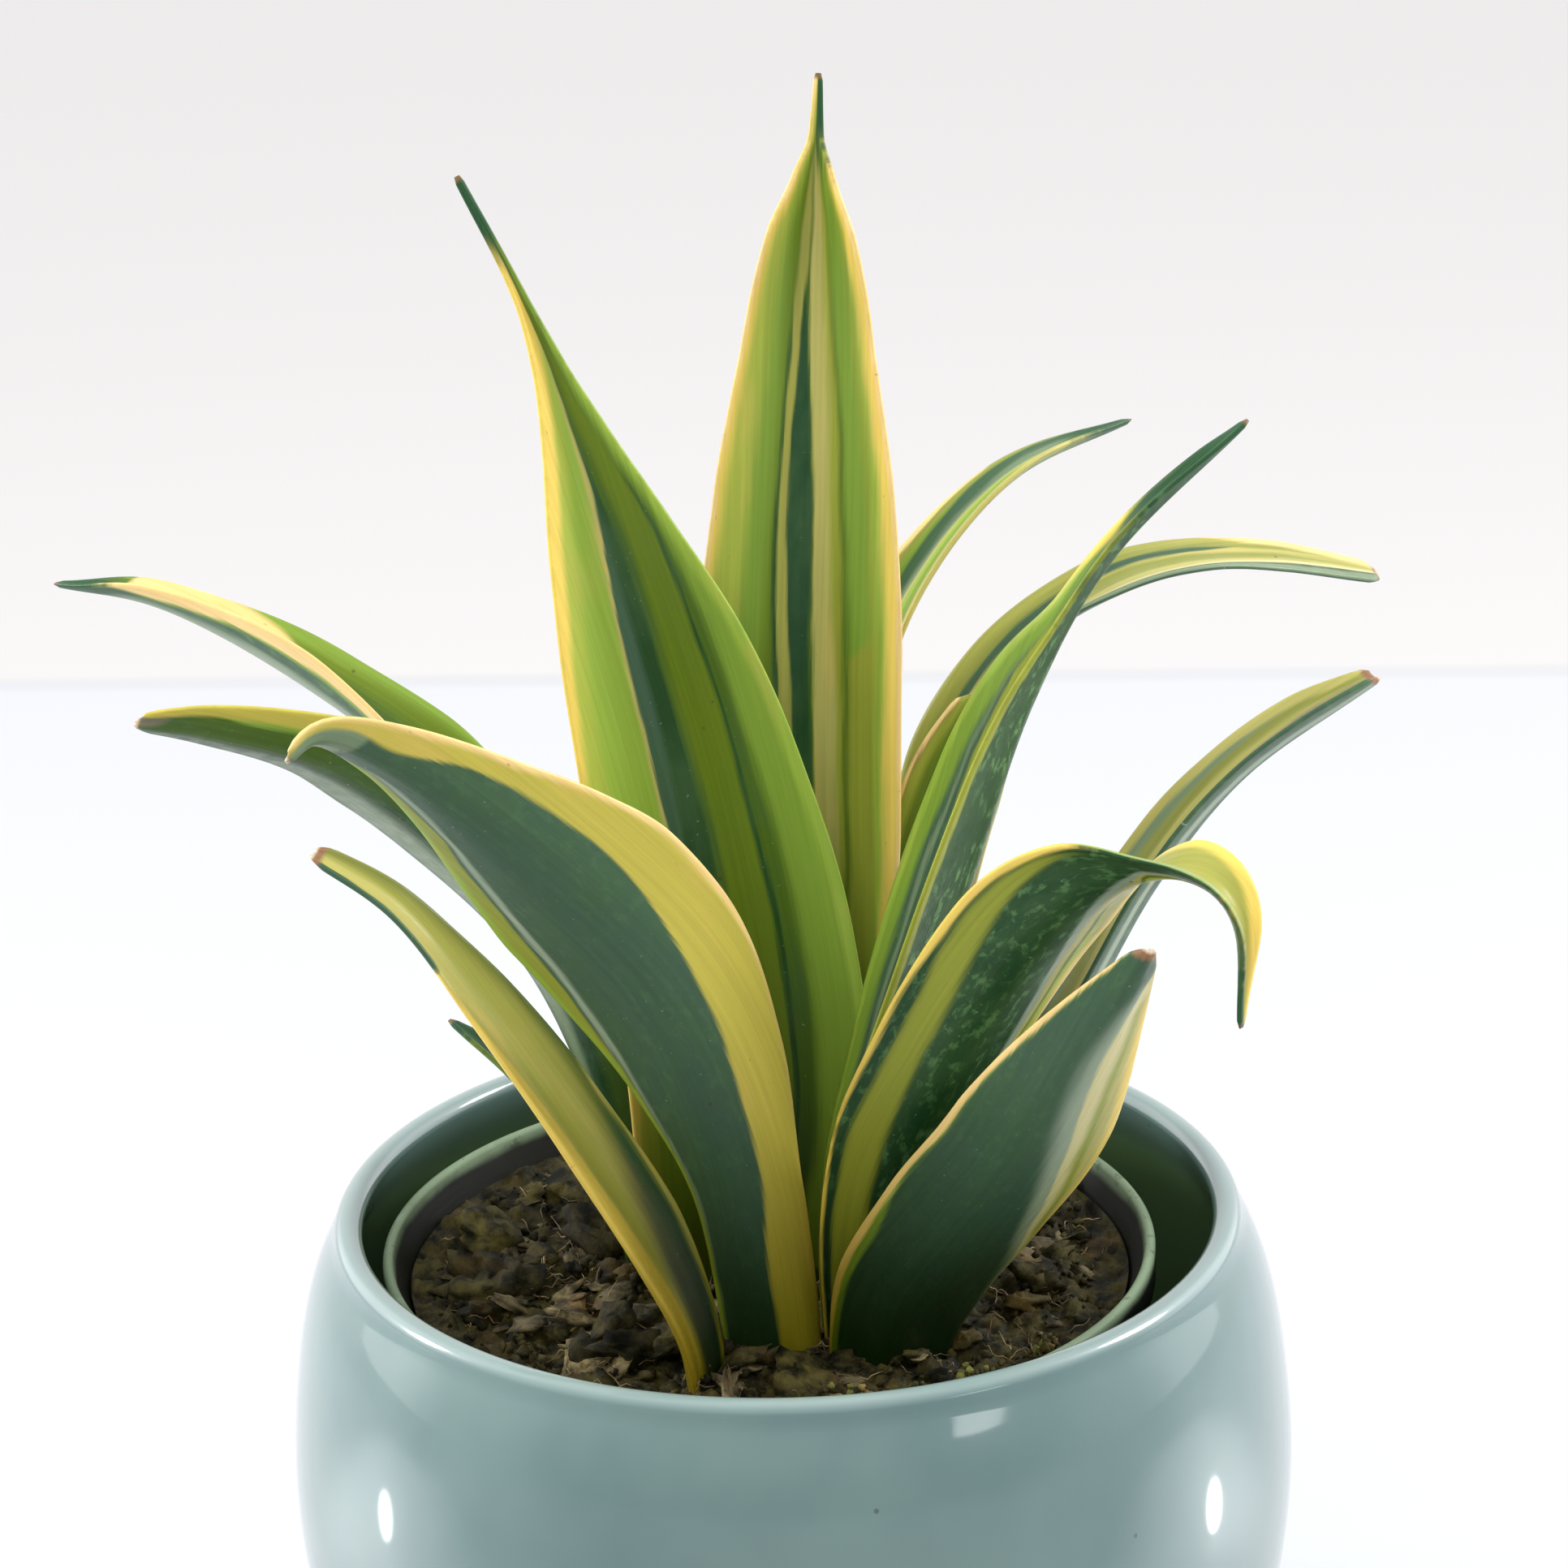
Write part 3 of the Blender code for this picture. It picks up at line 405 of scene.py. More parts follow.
        ("sage/slate", 0.6, [(0, -0.6), (0.6, -0.56), (0.85, -0.4), (1, -0.2)]),
        ("cream/slate", 0.5, [(0, -0.3), (0.5, -0.3), (0.8, -0.1), (0.9, 0.2)]),
        ("dusk/dark", 0.4, [(0, -0.16), (0.5, -0.16), (0.8, 0.04), (0.9, 0.3)]),
        ("khaki/dark", 0.5, [(0, 0), (0.5, 0), (0.8, 0.26), (0.9, 0.4)]),
        ("drab/dark", 0.5, [(0, 0.36), (0.5, 0.38), (0.8, 0.44), (1, 0.5)]),
        ("sage/slate", 0.5, [(0, 0.6), (0.5, 0.6), (0.8, 0.66), (0.92, 0.8)]),
        ("khaki", 0.5, [(0, 0.84), (0.8, 0.8), (1, 0.6)]),
    ]},
    "leaf_right_back": {"tip": ("spike", 17, 0), "marbling": 0.3, "ground": "khaki", "stripes": [
        ("leaf", 0.6, [(0, -0.8), (0.6, -0.8), (0.8, -0.7), (0.9, -0.9)]),
        ("lime/slate", 0.8, [(0, -0.2), (0.7, -0.2), (0.85, -0.1)]),
        ("khaki/slate", 0.4, [(0, 0.02), (0.7, 0), (0.85, 0.1)]),
        ("sage/slate", 0.4, [(0, 0.14), (0.7, 0.1), (0.85, 0.2)]),
        ("slate/dark", 0.6, [(0, 0.26), (0.65, 0.24), (0.78, 0.3), (0.88, 0.5)]),
        ("leaf", 0.5, [(0, 0.52), (0.65, 0.5), (0.76, 0.62), (0.84, 0.9)]),
        ("drab", 0.4, [(0, 0.72), (0.65, 0.72), (0.76, 0.7), (0.84, 0.9)]),
        ("peach", 0.3, [(0, 0.94), (0.65, 0.94), (0.74, 0.86), (0.82, 1), (0.86, 1.2)]),
    ]},
    "leaf_right_long": {"tip": ("dry", 1.2, 0), "marbling": 0.2, "ground": "sage/slate", "stripes": [
        ("slate", 0.35, [(0, -0.95), (0.7, -0.94), (0.9, -0.7), (1, -0.5)]),
        ("cream/slate", 0.4, [(0, -0.86), (0.7, -0.84), (0.9, -0.4), (1, -0.2)]),
        ("khaki/dark", 0.5, [(0, -0.66), (0.7, -0.6), (0.86, -0.2), (1, 0)]),
        ("drab/dark", 0.7, [(0, -0.2), (0.7, -0.14), (0.86, 0), (1, 0.2)]),
        ("khaki/dark", 0.7, [(0, 0.1), (0.4, 0.14), (0.6, 0.3), (0.9, 0.3)]),
        ("slate/dark", 0.4, [(0, 0.62), (0.42, 0.62), (0.5, 0.44), (0.7, 0.36), (0.82, 0.42),
            (0.88, 0.7)]),
        ("drab/moss", 0.5, [(0, 0.62), (0.7, 0.6), (0.82, 0.6), (0.88, 0.5)]),
        ("straw/lime", 0.8, [(0, 0.8), (0.8, 0.76), (1, 0.6)]),
        ("peach", 0.6, [(0, 1.1), (0.8, 1.1), (0.87, 0.8), (0.94, 0.6), (1, 0.4)]),
        ("/khaki", 0.8, [(0, -1.1), (0.5, -1.1), (0.62, 1.6), (1, 1.6)]),
    ]},
    "leaf_right_short": {"tip": ("dry", 1, 0), "marbling": 0.2, "ground": "cream", "stripes": [
        ("lime", 0.6, [(0, -0.84), (0.7, -0.8), (1, -0.72)]),
        ("deep", 0.6, [(0, -0.5), (0.7, -0.5), (1, -0.44)]),
        ("moss/dark", 1, [(0, 0.05), (1, 0.05)]),
        ("olive/moss", 1, [(0, 0.45), (1, 0.4)]),
        ("pear/khaki", 0.8, [(0, 0.72), (1, 0.7)]),
        ("dry", 0.3, [(0, 0.93), (1, 0.93)]),
        ("peach", 0.3, [(0, 0.96), (1, 0.96)]),
    ]},
}

# Cache pot and nursery pot, as in the part's source
CACHE_HEIGHT = 112.0
CACHE_WALL = 4.4
CACHE_FLOOR = 6.0
CACHE_LIP_RADIUS = 70.4
CACHE_FOOT_RADIUS = 50.0
CACHE_OUTLINE = [
    (CACHE_LIP_RADIUS, CACHE_HEIGHT - CACHE_WALL / 2),
    (74.0, 102.0),
    (76.6, 92.0),
    (78.7, 71.0),
    (77.2, 52.0),
    (71.5, 30.0),
    (61.5, 11.0),
    (CACHE_FOOT_RADIUS, 0.0),
]
CLEARANCE = 0.35
NURSERY_PLACE = (-3.0, -1.0)
NURSERY_RIM_RADIUS = 60.0
NURSERY_RIM_WIDTH = 3.0
NURSERY_RIM_DEPTH = 6.0
NURSERY_TOP = 105.6
NURSERY_FOOT_RADIUS = 43.0
NURSERY_WALL = 1.3
SOIL_TOP = 100.5
SOIL_RELIEF = 1.7
SOIL_LUMP = 11.0
SOIL_CRUMB = 4.8

# Looks of the two pots: mm below the lip where the glaze's painted inner shade and leaf reflection are full,
# the top of the lip with a painted highlight, and how far below and above its top the nursery pot's painted
# shade fades out
INSIDE_DEPTH = 14.0
LIP_HIGHLIGHT_BAND = 1.6
PALE_FROM = -1.4
PALE_TO = 0.6

# Fine turned meshes
CACHE_PROFILE_POINTS = 60
CACHE_LIP_POINTS = 15
TURN_STEPS = 240
TURN_FIT = 0.998
NURSERY_RIM_ROLL = 1.7
RIM_ROUND_POINTS = 5

# Fine peat: clods with bent outlines, and grit on them
SOIL_RINGS = 110
SOIL_STEPS = 440
CLOD_SIZE = 6.0
CLOD_BEND = 3.0
CLOD_HEIGHT = 1.8
GRIT_SIZE = 1.6
GRIT_HEIGHT = 0.6
SOIL_SEED = 11
SCRAP_SPOT = (-6.0, -50.0)
SCRAP_SIZE = 4.6

# Tones of what lies in the nursery pot: dark, light and accent
SOIL_TONES = {
    "damp_peat": ((12, 12, 3), (68, 62, 28), (74, 58, 26)),
    "bark": ((34, 29, 14), (114, 103, 72), (98, 78, 48)),
    "straw": ((78, 64, 42), (164, 142, 106), (130, 94, 58)),
    "moss": ((40, 40, 16), (104, 104, 50), (112, 84, 46)),
}

# Lumps: how many, how far they keep from the wall in mm, and ranges of size, width and height, with the
# rings and steps of each, a range of tones and the most they tilt
FINE_CRUMBS = (1700, 4, (0.3, 1.3), ((0.5, 1.0), (0.4, 0.9)), (5, 6), (-0.7, 0.5), 0.8)
LARGE_CRUMBS = (130, 9, (1.8, 5.6), ((0.6, 1.0), (0.35, 0.6)), (10, 14), (-0.6, 0.6), 0.6)
SMALL_CHIPS = (130, 7, (1.4, 5.0), ((0.3, 0.6), (0.12, 0.26)), (7, 9), (-0.5, 0.7), 0.7)
LARGE_CHIPS = (36, 12, (4.0, 9.0), ((0.4, 0.7), (0.08, 0.16)), (9, 12), (-0.4, 1.1), 0.35)

# Fibres: how many, how far they keep from the wall, a range of step lengths, how they bend, their radius
CURLED_FIBRES = (330, 4, (0.3, 0.9), 0.35, (0.07, 0.16))
LONG_FIBRES = (34, 8, (0.9, 1.5), 0.08, (0.14, 0.24))

# Moss at the front right: middle across and in depth, and spread, with so many crumbs in each tuft
MOSS_TUFTS = ((16, -49, 4), (25, -48, 3.5), (33, -44, 3.5), (44, -32, 3))
MOSS_CRUMBS = 70

# Camera: where it looks, how far off and how it leans
CAMERA_TARGET = Vector((1.2, 0.0, 179.4))
CAMERA_DISTANCE = 609.0
CAMERA_PITCH = 19.0
CAMERA_ROLL = 1.5
FOCAL_PIXELS = 5000.0
IMAGE_PIXELS = 1932.0
SENSOR_MM = 36.0

# Table and floor in metres: the table's far edge and how it leans, and how strongly the floor shines of
# itself: beyond the pot, beside it and in front
FLOOR_HALF = 6.0
TABLE_EDGE = 0.622
TABLE_SKEW = 0.056
FLOOR_GLOW = 0.54
SIDE_GLOW = 1.8
FRONT_GLOW = 0.42

# The world's brightness: in front, at the back, and added by the windows at the sides
ROOM_FRONT = 0.34
ROOM_BACK = 0.95
WINDOW_GLOW = 1.3
ROOM_COLOUR = (0.98, 0.98, 1.0, 1.0)

# Lamps: place and aim in metres, width and height, watts, and whether the lamp shows in the glaze
LAMPS = {
    "top_light": ((-0.25, -0.1, 1.3), (0, 0, 0.1), (1.0, 1.0), 5.0, False),
    "front_light": ((0.0, -1.5, 1.1), (0, 0, 0.2), (1.6, 0.8), 12.5, False),
    "window_left": ((-1.1, -0.5, 0.7), (0, 0, 0.12), (0.4, 0.6), 4.2, False),
    "window_right": ((1.1, -0.4, 0.7), (0, 0, 0.12), (0.4, 0.6), 3.0, False),
    "glint_left": ((-0.68, 0.095, 0.39), (-0.053, -0.045, 0.111), (0.14, 0.26), 2.0, True),
    "glint_left_low": ((-0.244, -0.009, 0.014), (-0.059, -0.049, 0.085), (0.02, 0.022), 0.01, True),
    "glint_front": ((0.77, -0.8, 0.5), (0.027, -0.065, 0.11), (0.3, 0.07), 0.32, True),
    "glint_right": ((0.84, 0.15, 0.69), (0.05, -0.049, 0.111), (0.3, 0.36), 4.5, True),
    "glint_right_low": ((0.225, 0.0, 0.012), (0.061, -0.048, 0.078), (0.022, 0.022), 0.012, True),
}


def linear(colour):
    """A palette colour, or red, green and blue from 0 to 255, as linear red, green, blue and alpha."""
    if isinstance(colour, str):
        colour = PALETTE[colour]
    values = []
    for part in colour:
        share = part / 255
        values.append(share / 12.92 if share <= 0.04045 else ((share + 0.055) / 1.055) ** 2.4)
    return (*values, 1.0)


def blend(at, start, end, first, second):
    """Straight-line mix of two points or rows of points, for each knot value in a span."""
    share = (at - start) / (end - start)
    return (1 - share) * first + share * second


def smooth_curve(points, count):
    """Evenly spaced points on a centripetal Catmull-Rom curve, with the curve's length."""
    points = np.asarray(points, float)
    chords = np.sqrt(np.linalg.norm(np.diff(points, axis=0), axis=1))
    knots = np.concatenate([[0.0], np.cumsum(chords)])
    knots = np.concatenate([[-chords[0]], knots, [knots[-1] + chords[-1]]])
    points = np.concatenate([[2 * points[0] - points[1]], points, [2 * points[-1] - points[-2]]])
    pieces = []
    for i in range(1, len(points) - 2):
        before, start, end, after = knots[i - 1:i + 3]
        at = np.linspace(start, end, SPAN_SAMPLES)[:, None]
        a = blend(at, before, start, points[i - 1], points[i])
        b = blend(at, start, end, points[i], points[i + 1])
        c = blend(at, end, after, points[i + 1], points[i + 2])
        pieces.append(blend(at, start, end, blend(at, before, end, a, b), blend(at, start, after, b, c)))
    dense = np.concatenate(pieces)
    run = np.concatenate([[0.0], np.cumsum(np.linalg.norm(np.diff(dense, axis=0), axis=1))])
    even = np.linspace(0.0, run[-1], count)
    curve = np.stack([np.interp(even, run, dense[:, axis]) for axis in range(dense.shape[1])], 1)
    return curve, run[-1]


def eased(keys, places):
    """Read a smooth curve through (place, value) keys that never overshoots them."""
    at = np.array([key[0] for key in keys], float)
    value = np.array([key[1] for key in keys], float)
    slope = np.diff(value) / np.diff(at)
    tangent = np.concatenate([[slope[0]], np.zeros(len(keys) - 2), [slope[-1]]])
    for i in range(1, len(keys) - 1):
        if slope[i - 1] * slope[i] > 0:
            tangent[i] = 2 * slope[i - 1] * slope[i] / (slope[i - 1] + slope[i])
    low = np.clip(np.searchsorted(at, places, side="right") - 1, 0, len(keys) - 2)
    step = at[low + 1] - at[low]
    f = (places - at[low]) / step
    return ((2 * f**3 - 3 * f**2 + 1) * value[low] + (f**3 - 2 * f**2 + f) * step * tangent[low]
            + (3 * f**2 - 2 * f**3) * value[low + 1] + (f**3 - f**2) * step * tangent[low + 1])


def unit(vectors):
    """Vectors of length one in the same directions."""
    return vectors / np.linalg.norm(vectors, axis=-1, keepdims=True)


def smoothstep(low, high, value):
    """0 up to low, 1 from high on, and a smooth rise between them."""
    share = np.clip((value - low) / (high - low), 0.0, 1.0)
    return share * share * (3 - 2 * share)


def blade_section(fold, half_width, across):
    """Cross-section of a blade: a V with a rounded crease, as sideways and upward distances."""
    angle = max(math.radians(fold), 0.001)
    side = np.abs(across)
    inner = np.minimum(side, FOLD_SOFTNESS)
    outer = side - inner
    sideways = FOLD_SOFTNESS / angle * np.sin(angle * inner / FOLD_SOFTNESS) + outer * math.cos(angle)
    upward = FOLD_SOFTNESS / angle * (1 - np.cos(angle * inner / FOLD_SOFTNESS)) + outer * math.sin(angle)
    return half_width * np.sign(across) * sideways, half_width * upward


def blade_grid(leaf, places, across):
    """Rows of points over a leaf's middle surface, one row for each place along it."""
    heading = math.radians(leaf["heading"])
    outward = np.array([math.cos(heading), math.sin(heading), 0.0])
    left = np.array([-math.sin(heading), math.cos(heading), 0.0])
    route = [ROSETTE_CENTRE + out * outward + side * left + np.array([0.0, 0.0, height])
             for out, side, height in leaf["route"]]
    midrib, _ = smooth_curve(route, MIDRIB_SAMPLES)
    along = unit(np.gradient(midrib, axis=0))
    samples = np.linspace(0.0, 1.0, MIDRIB_SAMPLES)
    rows = []
    for place in places:
        centre = np.array([np.interp(place, samples, midrib[:, axis]) for axis in range(3)])
        tangent = unit(np.array([np.interp(place, samples, along[:, axis]) for axis in range(3)]))
        sideways = unit(left - np.dot(left, tangent) * tangent)
        upward = np.cross(tangent, sideways)
        turn = math.radians(eased(leaf["turn"], place))
        turned_side = math.cos(turn) * sideways + math.sin(turn) * upward
        turned_up = math.cos(turn) * upward - math.sin(turn) * sideways
        width = eased(leaf["width"], place)
        fold = eased(leaf["fold"], place)
        if width < NARROW_BLADE:
            fold = min(fold, NARROW_BLADE_FOLD * width / NARROW_BLADE)
        x, y = blade_section(fold, max(width / 2 - MARGIN_ROUND, LEAST_HALF_WIDTH), across)
        rows.append(centre + x[:, None] * turned_side + y[:, None] * turned_up)
    return np.array(rows)


def new_mesh(name, points, faces):
    """A mesh of points in metres and faces of their numbers."""
    mesh = bpy.data.meshes.new(name)
    mesh.from_pydata(points, [], faces)
    return mesh


def new_object(name, data):
    """Put a mesh, a lamp or a camera in the scene."""
    thing = bpy.data.objects.new(name, data)
    bpy.context.scene.collection.objects.link(thing)
    return thing


def add_attribute(mesh, name, values):
    """Store one number, or one vector, for each point of a mesh."""
    values = np.asarray(values, np.float32)
    if values.ndim == 1:
        mesh.attributes.new(name, "FLOAT", "POINT").data.foreach_set("value", values)
    else:
        mesh.attributes.new(name, "FLOAT_VECTOR", "POINT").data.foreach_set("vector", values.ravel())


def add_piece(name, mesh, material, slot, *replaced):
    """Put a finished mesh in the scene as a piece of the object."""
    piece = new_object(name, mesh)
    mesh.materials.append(material)
    mesh.shade_smooth()
    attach(piece, "root")
    if replaced:
        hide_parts(*replaced)


def ragged_ends(leaf_name, across):
    """How many mm a blade falls short of its full length at each place across it."""
    kind = MARKINGS[leaf_name]["tip"][0]
    if kind == "spike":
        return np.zeros(len(across))
    seed = len(leaf_name)
    torn = np.array([noise.noise(Vector((3.2 * u, seed, 0.5))) for u in across])
    return TORN_CORNER * np.abs(across) ** 3 + TORN_EDGE * np.clip(torn + 0.3, 0, 1)


def leaf_surface(name, leaf):
    """Middle surface of a leaf on a fine grid, with its places along and across and its length."""
    _, length = smooth_curve(leaf["route"], MIDRIB_SAMPLES)
    stations = round(length / LEAF_PITCH)
    spread = np.linspace(-1.0, 1.0, LEAF_COLUMNS)
    across = (1 - MARGIN_CROWDING) * spread + MARGIN_CROWDING * np.sin(spread * math.pi / 2)
    places = np.linspace(0.0, 1.0, stations)
    rows = blade_grid(leaf, places, across)
    short = 1 - ragged_ends(name, across) / length
    along = places[:, None] * short[None, :]
    fitted = np.empty_like(rows)
    for column in range(LEAF_COLUMNS):
        for axis in range(3):
            fitted[:, column, axis] = np.interp(along[:, column], places, rows[:, column, axis])
    return fitted, along, across, length


def surface_normals(rows):
    """Unit normals of a grid of points, on the upper side of the leaf."""
    return unit(np.cross(np.gradient(rows, axis=0), np.gradient(rows, axis=1)))


def wave(rows, normals, along, across, length, seed):
    """Let the blade ripple a little, most of all at its margins."""
    ripple = np.zeros(along.shape)
    for row in range(along.shape[0]):
        for column, u in enumerate(across):
            spot = Vector((u * 1.1, along[row, column] * length / WAVE_LENGTH, seed))
            ripple[row, column] = noise.noise(spot)
    fade = smoothstep(0.12, 0.35, along) * (1 - smoothstep(0.8, 1.0, along))
    rise = WAVE_HEIGHT * ripple * fade * (0.4 + 1.2 * across[None, :] ** 2)
    return rows + rise[:, :, None] * normals


def closed_rings(rows, normals, half):
    """Rings of points round a blade: over its upper face, round one margin, back below and round the other.

    With them come how far each point faces up (1) or down (-1) and its column of the surface.
    """
    last = LEAF_COLUMNS - 1
    columns = [(0, column) for column in range(LEAF_COLUMNS)]
    columns += [(angle, last) for angle in MARGIN_ARC]
    columns += [(180, column) for column in range(last, -1, -1)]
    columns += [(180 + angle, 0) for angle in MARGIN_ARC]
    right = unit(rows[:, -1] - rows[:, -2])
    left = unit(rows[:, 0] - rows[:, 1])
    ring = []
    for angle, column in columns:
        turn = math.radians(angle)
        side = right if column else left
        level = math.cos(turn) * half[:, column] * normals[:, column]
        reach = abs(math.sin(turn)) * half[:, column] * side if angle % 180 else 0.0
        ring.append(rows[:, column] + level + reach)
    turns = [math.cos(math.radians(angle)) for angle, _ in columns]
    return np.stack(ring, 1), turns, [column for _, column in columns]


def ring_faces(stations, count):
    """Faces between a leaf's rings, with a closed end at its base and at its tip."""
    faces = []
    for row in range(stations - 1):
        for column in range(count):
            after = (column + 1) % count
            faces.append((row * count + column, (row + 1) * count + column,
                          (row + 1) * count + after, row * count + after))
    last_up = LEAF_COLUMNS - 1
    first_down = last_up + len(MARGIN_ARC) + 1
    last_down = first_down + LEAF_COLUMNS - 1
    for row, flip in ((0, False), (stations - 1, True)):
        start = row * count
        caps = [[start + i, start + i + 1, start + last_down - i - 1, start + last_down - i]
                for i in range(last_up)]
        caps.append([start + i for i in range(last_up, first_down + 1)])
        caps.append([start + last_down + i for i in range(len(MARGIN_ARC) + 1)] + [start])
        for cap in caps:
            faces.append(cap[::-1] if flip else cap)
    return faces


def leaf_mesh(name, leaf, seed):
    """Close a leaf's surface into a thin body with rounded margins, and note where its stripes run."""
    rows, along, across, length = leaf_surface(name, leaf)
    normals = surface_normals(rows)
    rows = wave(rows, normals, along, across, length, seed)
    tip_mm = (1 - along) * length
    middle = BLADE_BASE_THICKNESS + (BLADE_TIP_THICKNESS - BLADE_BASE_THICKNESS) * along
    bulge = np.sqrt(1 - across[None, :] ** 2)
    thickness = BLADE_MARGIN_THICKNESS + (middle - BLADE_MARGIN_THICKNESS) * bulge
    tip_round = np.sqrt(np.clip((tip_mm - tip_mm.min(0)[None, :] + 0.15) / TIP_ROUND, 0.0, 1.0))
    half = (thickness * tip_round / 2)[:, :, None]

    half_width = eased(leaf["width"], along) / 2
    blade = np.stack([across[None, :] * half_width, along * length, tip_mm], 2)
    points, turns, picks = closed_rings(rows, normals, half)
    mesh = new_mesh(name, (points * MM).reshape(-1, 3).tolist(), ring_faces(*points.shape[:2]))
    add_attribute(mesh, "blade", blade[:, picks].reshape(-1, 3))
    add_attribute(mesh, "face", np.tile(turns, len(points)))
    for index, (_, _, route) in enumerate(MARKINGS[name]["stripes"]):
        place = eased(route, np.clip(along, route[0][0], route[-1][0]))
        edge = (across[None, :] - place) * half_width
        add_attribute(mesh, "edge_%d" % index, edge[:, picks].ravel())
    return mesh


class Shading:
    """Nodes of a material or the world, made by short calls.

    A value is a number, a colour or another node's output.
    """

    def __init__(self, owner, shader="Principled BSDF"):
        owner.use_nodes = True
        self.owner = owner
        self.nodes = owner.node_tree.nodes
        self.links = owner.node_tree.links
        self.shader = self.nodes[shader]

    def put(self, value, socket):
        if isinstance(value, bpy.types.NodeSocket):
            self.links.new(value, socket)
        else:
            socket.default_value = value

    def feed(self, node, *values):
        """Give a node its inputs in order, and return its output."""
        for value, socket in zip(values, node.inputs):
            self.put(value, socket)
        return node.outputs[0]

    def attribute(self, name, output="Fac"):
        node = self.nodes.new("ShaderNodeAttribute")
        node.attribute_name = name
        return node.outputs[output]

    def where(self, output="Object"):
        """The place being shaded, in metres."""
        return self.nodes.new("ShaderNodeTexCoord").outputs[output]

    def math(self, operation, *values):
        node = self.nodes.new("ShaderNodeMath")
        node.operation = operation
        return self.feed(node, *values)

    def times(self, first, *others):
        """Product of two or more values."""
        for other in others:
            first = self.math("MULTIPLY", first, other)
        return first

    def join_grey(self, value):
        """A grey colour from one value."""
        return self.feed(self.nodes.new("ShaderNodeCombineColor"), value, value, value)

    def smooth(self, value, low, high, start=0.0, end=1.0):
        """Smooth step from start to end as the value goes from low to high."""
        node = self.nodes.new("ShaderNodeMapRange")
        node.interpolation_type = "SMOOTHSTEP"
        return self.feed(node, value, low, high, start, end)

    def mix(self, share, first, second, kind="MIX"):
        node = self.nodes.new("ShaderNodeMix")
        node.data_type = "RGBA"
        node.blend_type = kind
        self.put(share, node.inputs[0])
        self.put(first, node.inputs[6])
        self.put(second, node.inputs[7])
        return node.outputs[2]

    def tint(self, colour, name, *shares):
        """Lay a palette colour over another one, as strongly as the product of some shares."""
        return self.mix(self.times(*shares), colour, linear(name))

    def split(self, vector):
        node = self.nodes.new("ShaderNodeSeparateXYZ")
        self.links.new(vector, node.inputs[0])
        return node.outputs

    def join(self, x, y, z):
        return self.feed(self.nodes.new("ShaderNodeCombineXYZ"), x, y, z)

    def scaled(self, vector, scale):
        node = self.nodes.new("ShaderNodeVectorMath")
        node.operation = "MULTIPLY"
        return self.feed(node, vector, scale)

    def noise(self, vector, scale, detail=2.0, roughness=0.5, distortion=0.0):
        node = self.nodes.new("ShaderNodeTexNoise")
        self.put(vector, node.inputs["Vector"])
        node.inputs["Scale"].default_value = scale
        node.inputs["Detail"].default_value = detail
        node.inputs["Roughness"].default_value = roughness
        node.inputs["Distortion"].default_value = distortion
        return node.outputs[0]

    def spots(self, vector, scale):
        """Distance to the nearest of many scattered points."""
        node = self.nodes.new("ShaderNodeTexVoronoi")
        self.put(vector, node.inputs["Vector"])
        node.inputs["Scale"].default_value = scale
        return node.outputs["Distance"]

    def bump(self, height, strength, distance):
        node = self.nodes.new("ShaderNodeBump")
        node.inputs["Strength"].default_value = strength
        node.inputs["Distance"].default_value = distance
        self.put(height, node.inputs["Height"])
        self.links.new(node.outputs[0], self.shader.inputs["Normal"])

    def finish(self, colour, roughness, **values):
        """Feed the shader: values are given by input name, with _ for a space."""
        self.put(colour, self.shader.inputs["Base Color"])
        self.put(roughness, self.shader.inputs["Roughness"])
        for name, value in values.items():
            self.put(value, self.shader.inputs[name.replace("_", " ")])
        return self.owner


def both_faces(colours):
    """Colours of the upper and the lower face, from one name or two. An empty name gives none."""
    names = colours.split("/")
    return [linear(name) if name else None for name in (names[0], names[-1])]


def striped(tree, marks, wander):
    """Base colour of a leaf's two faces from its stripes, chosen by the face that shows."""
    upper, lower = both_faces(marks["ground"])
    for index, (colours, blur, _) in enumerate(marks["stripes"]):
        edge = tree.math("ADD", tree.attribute("edge_%d" % index), wander)
        share = tree.smooth(edge, -blur, blur)
        above, below = both_faces(colours)
        if above:
            upper = tree.mix(share, upper, above)
        if below:
            lower = tree.mix(share, lower, below)
    side = tree.smooth(tree.attribute("face"), -0.3, 0.3)
    return tree.mix(side, lower, upper), side


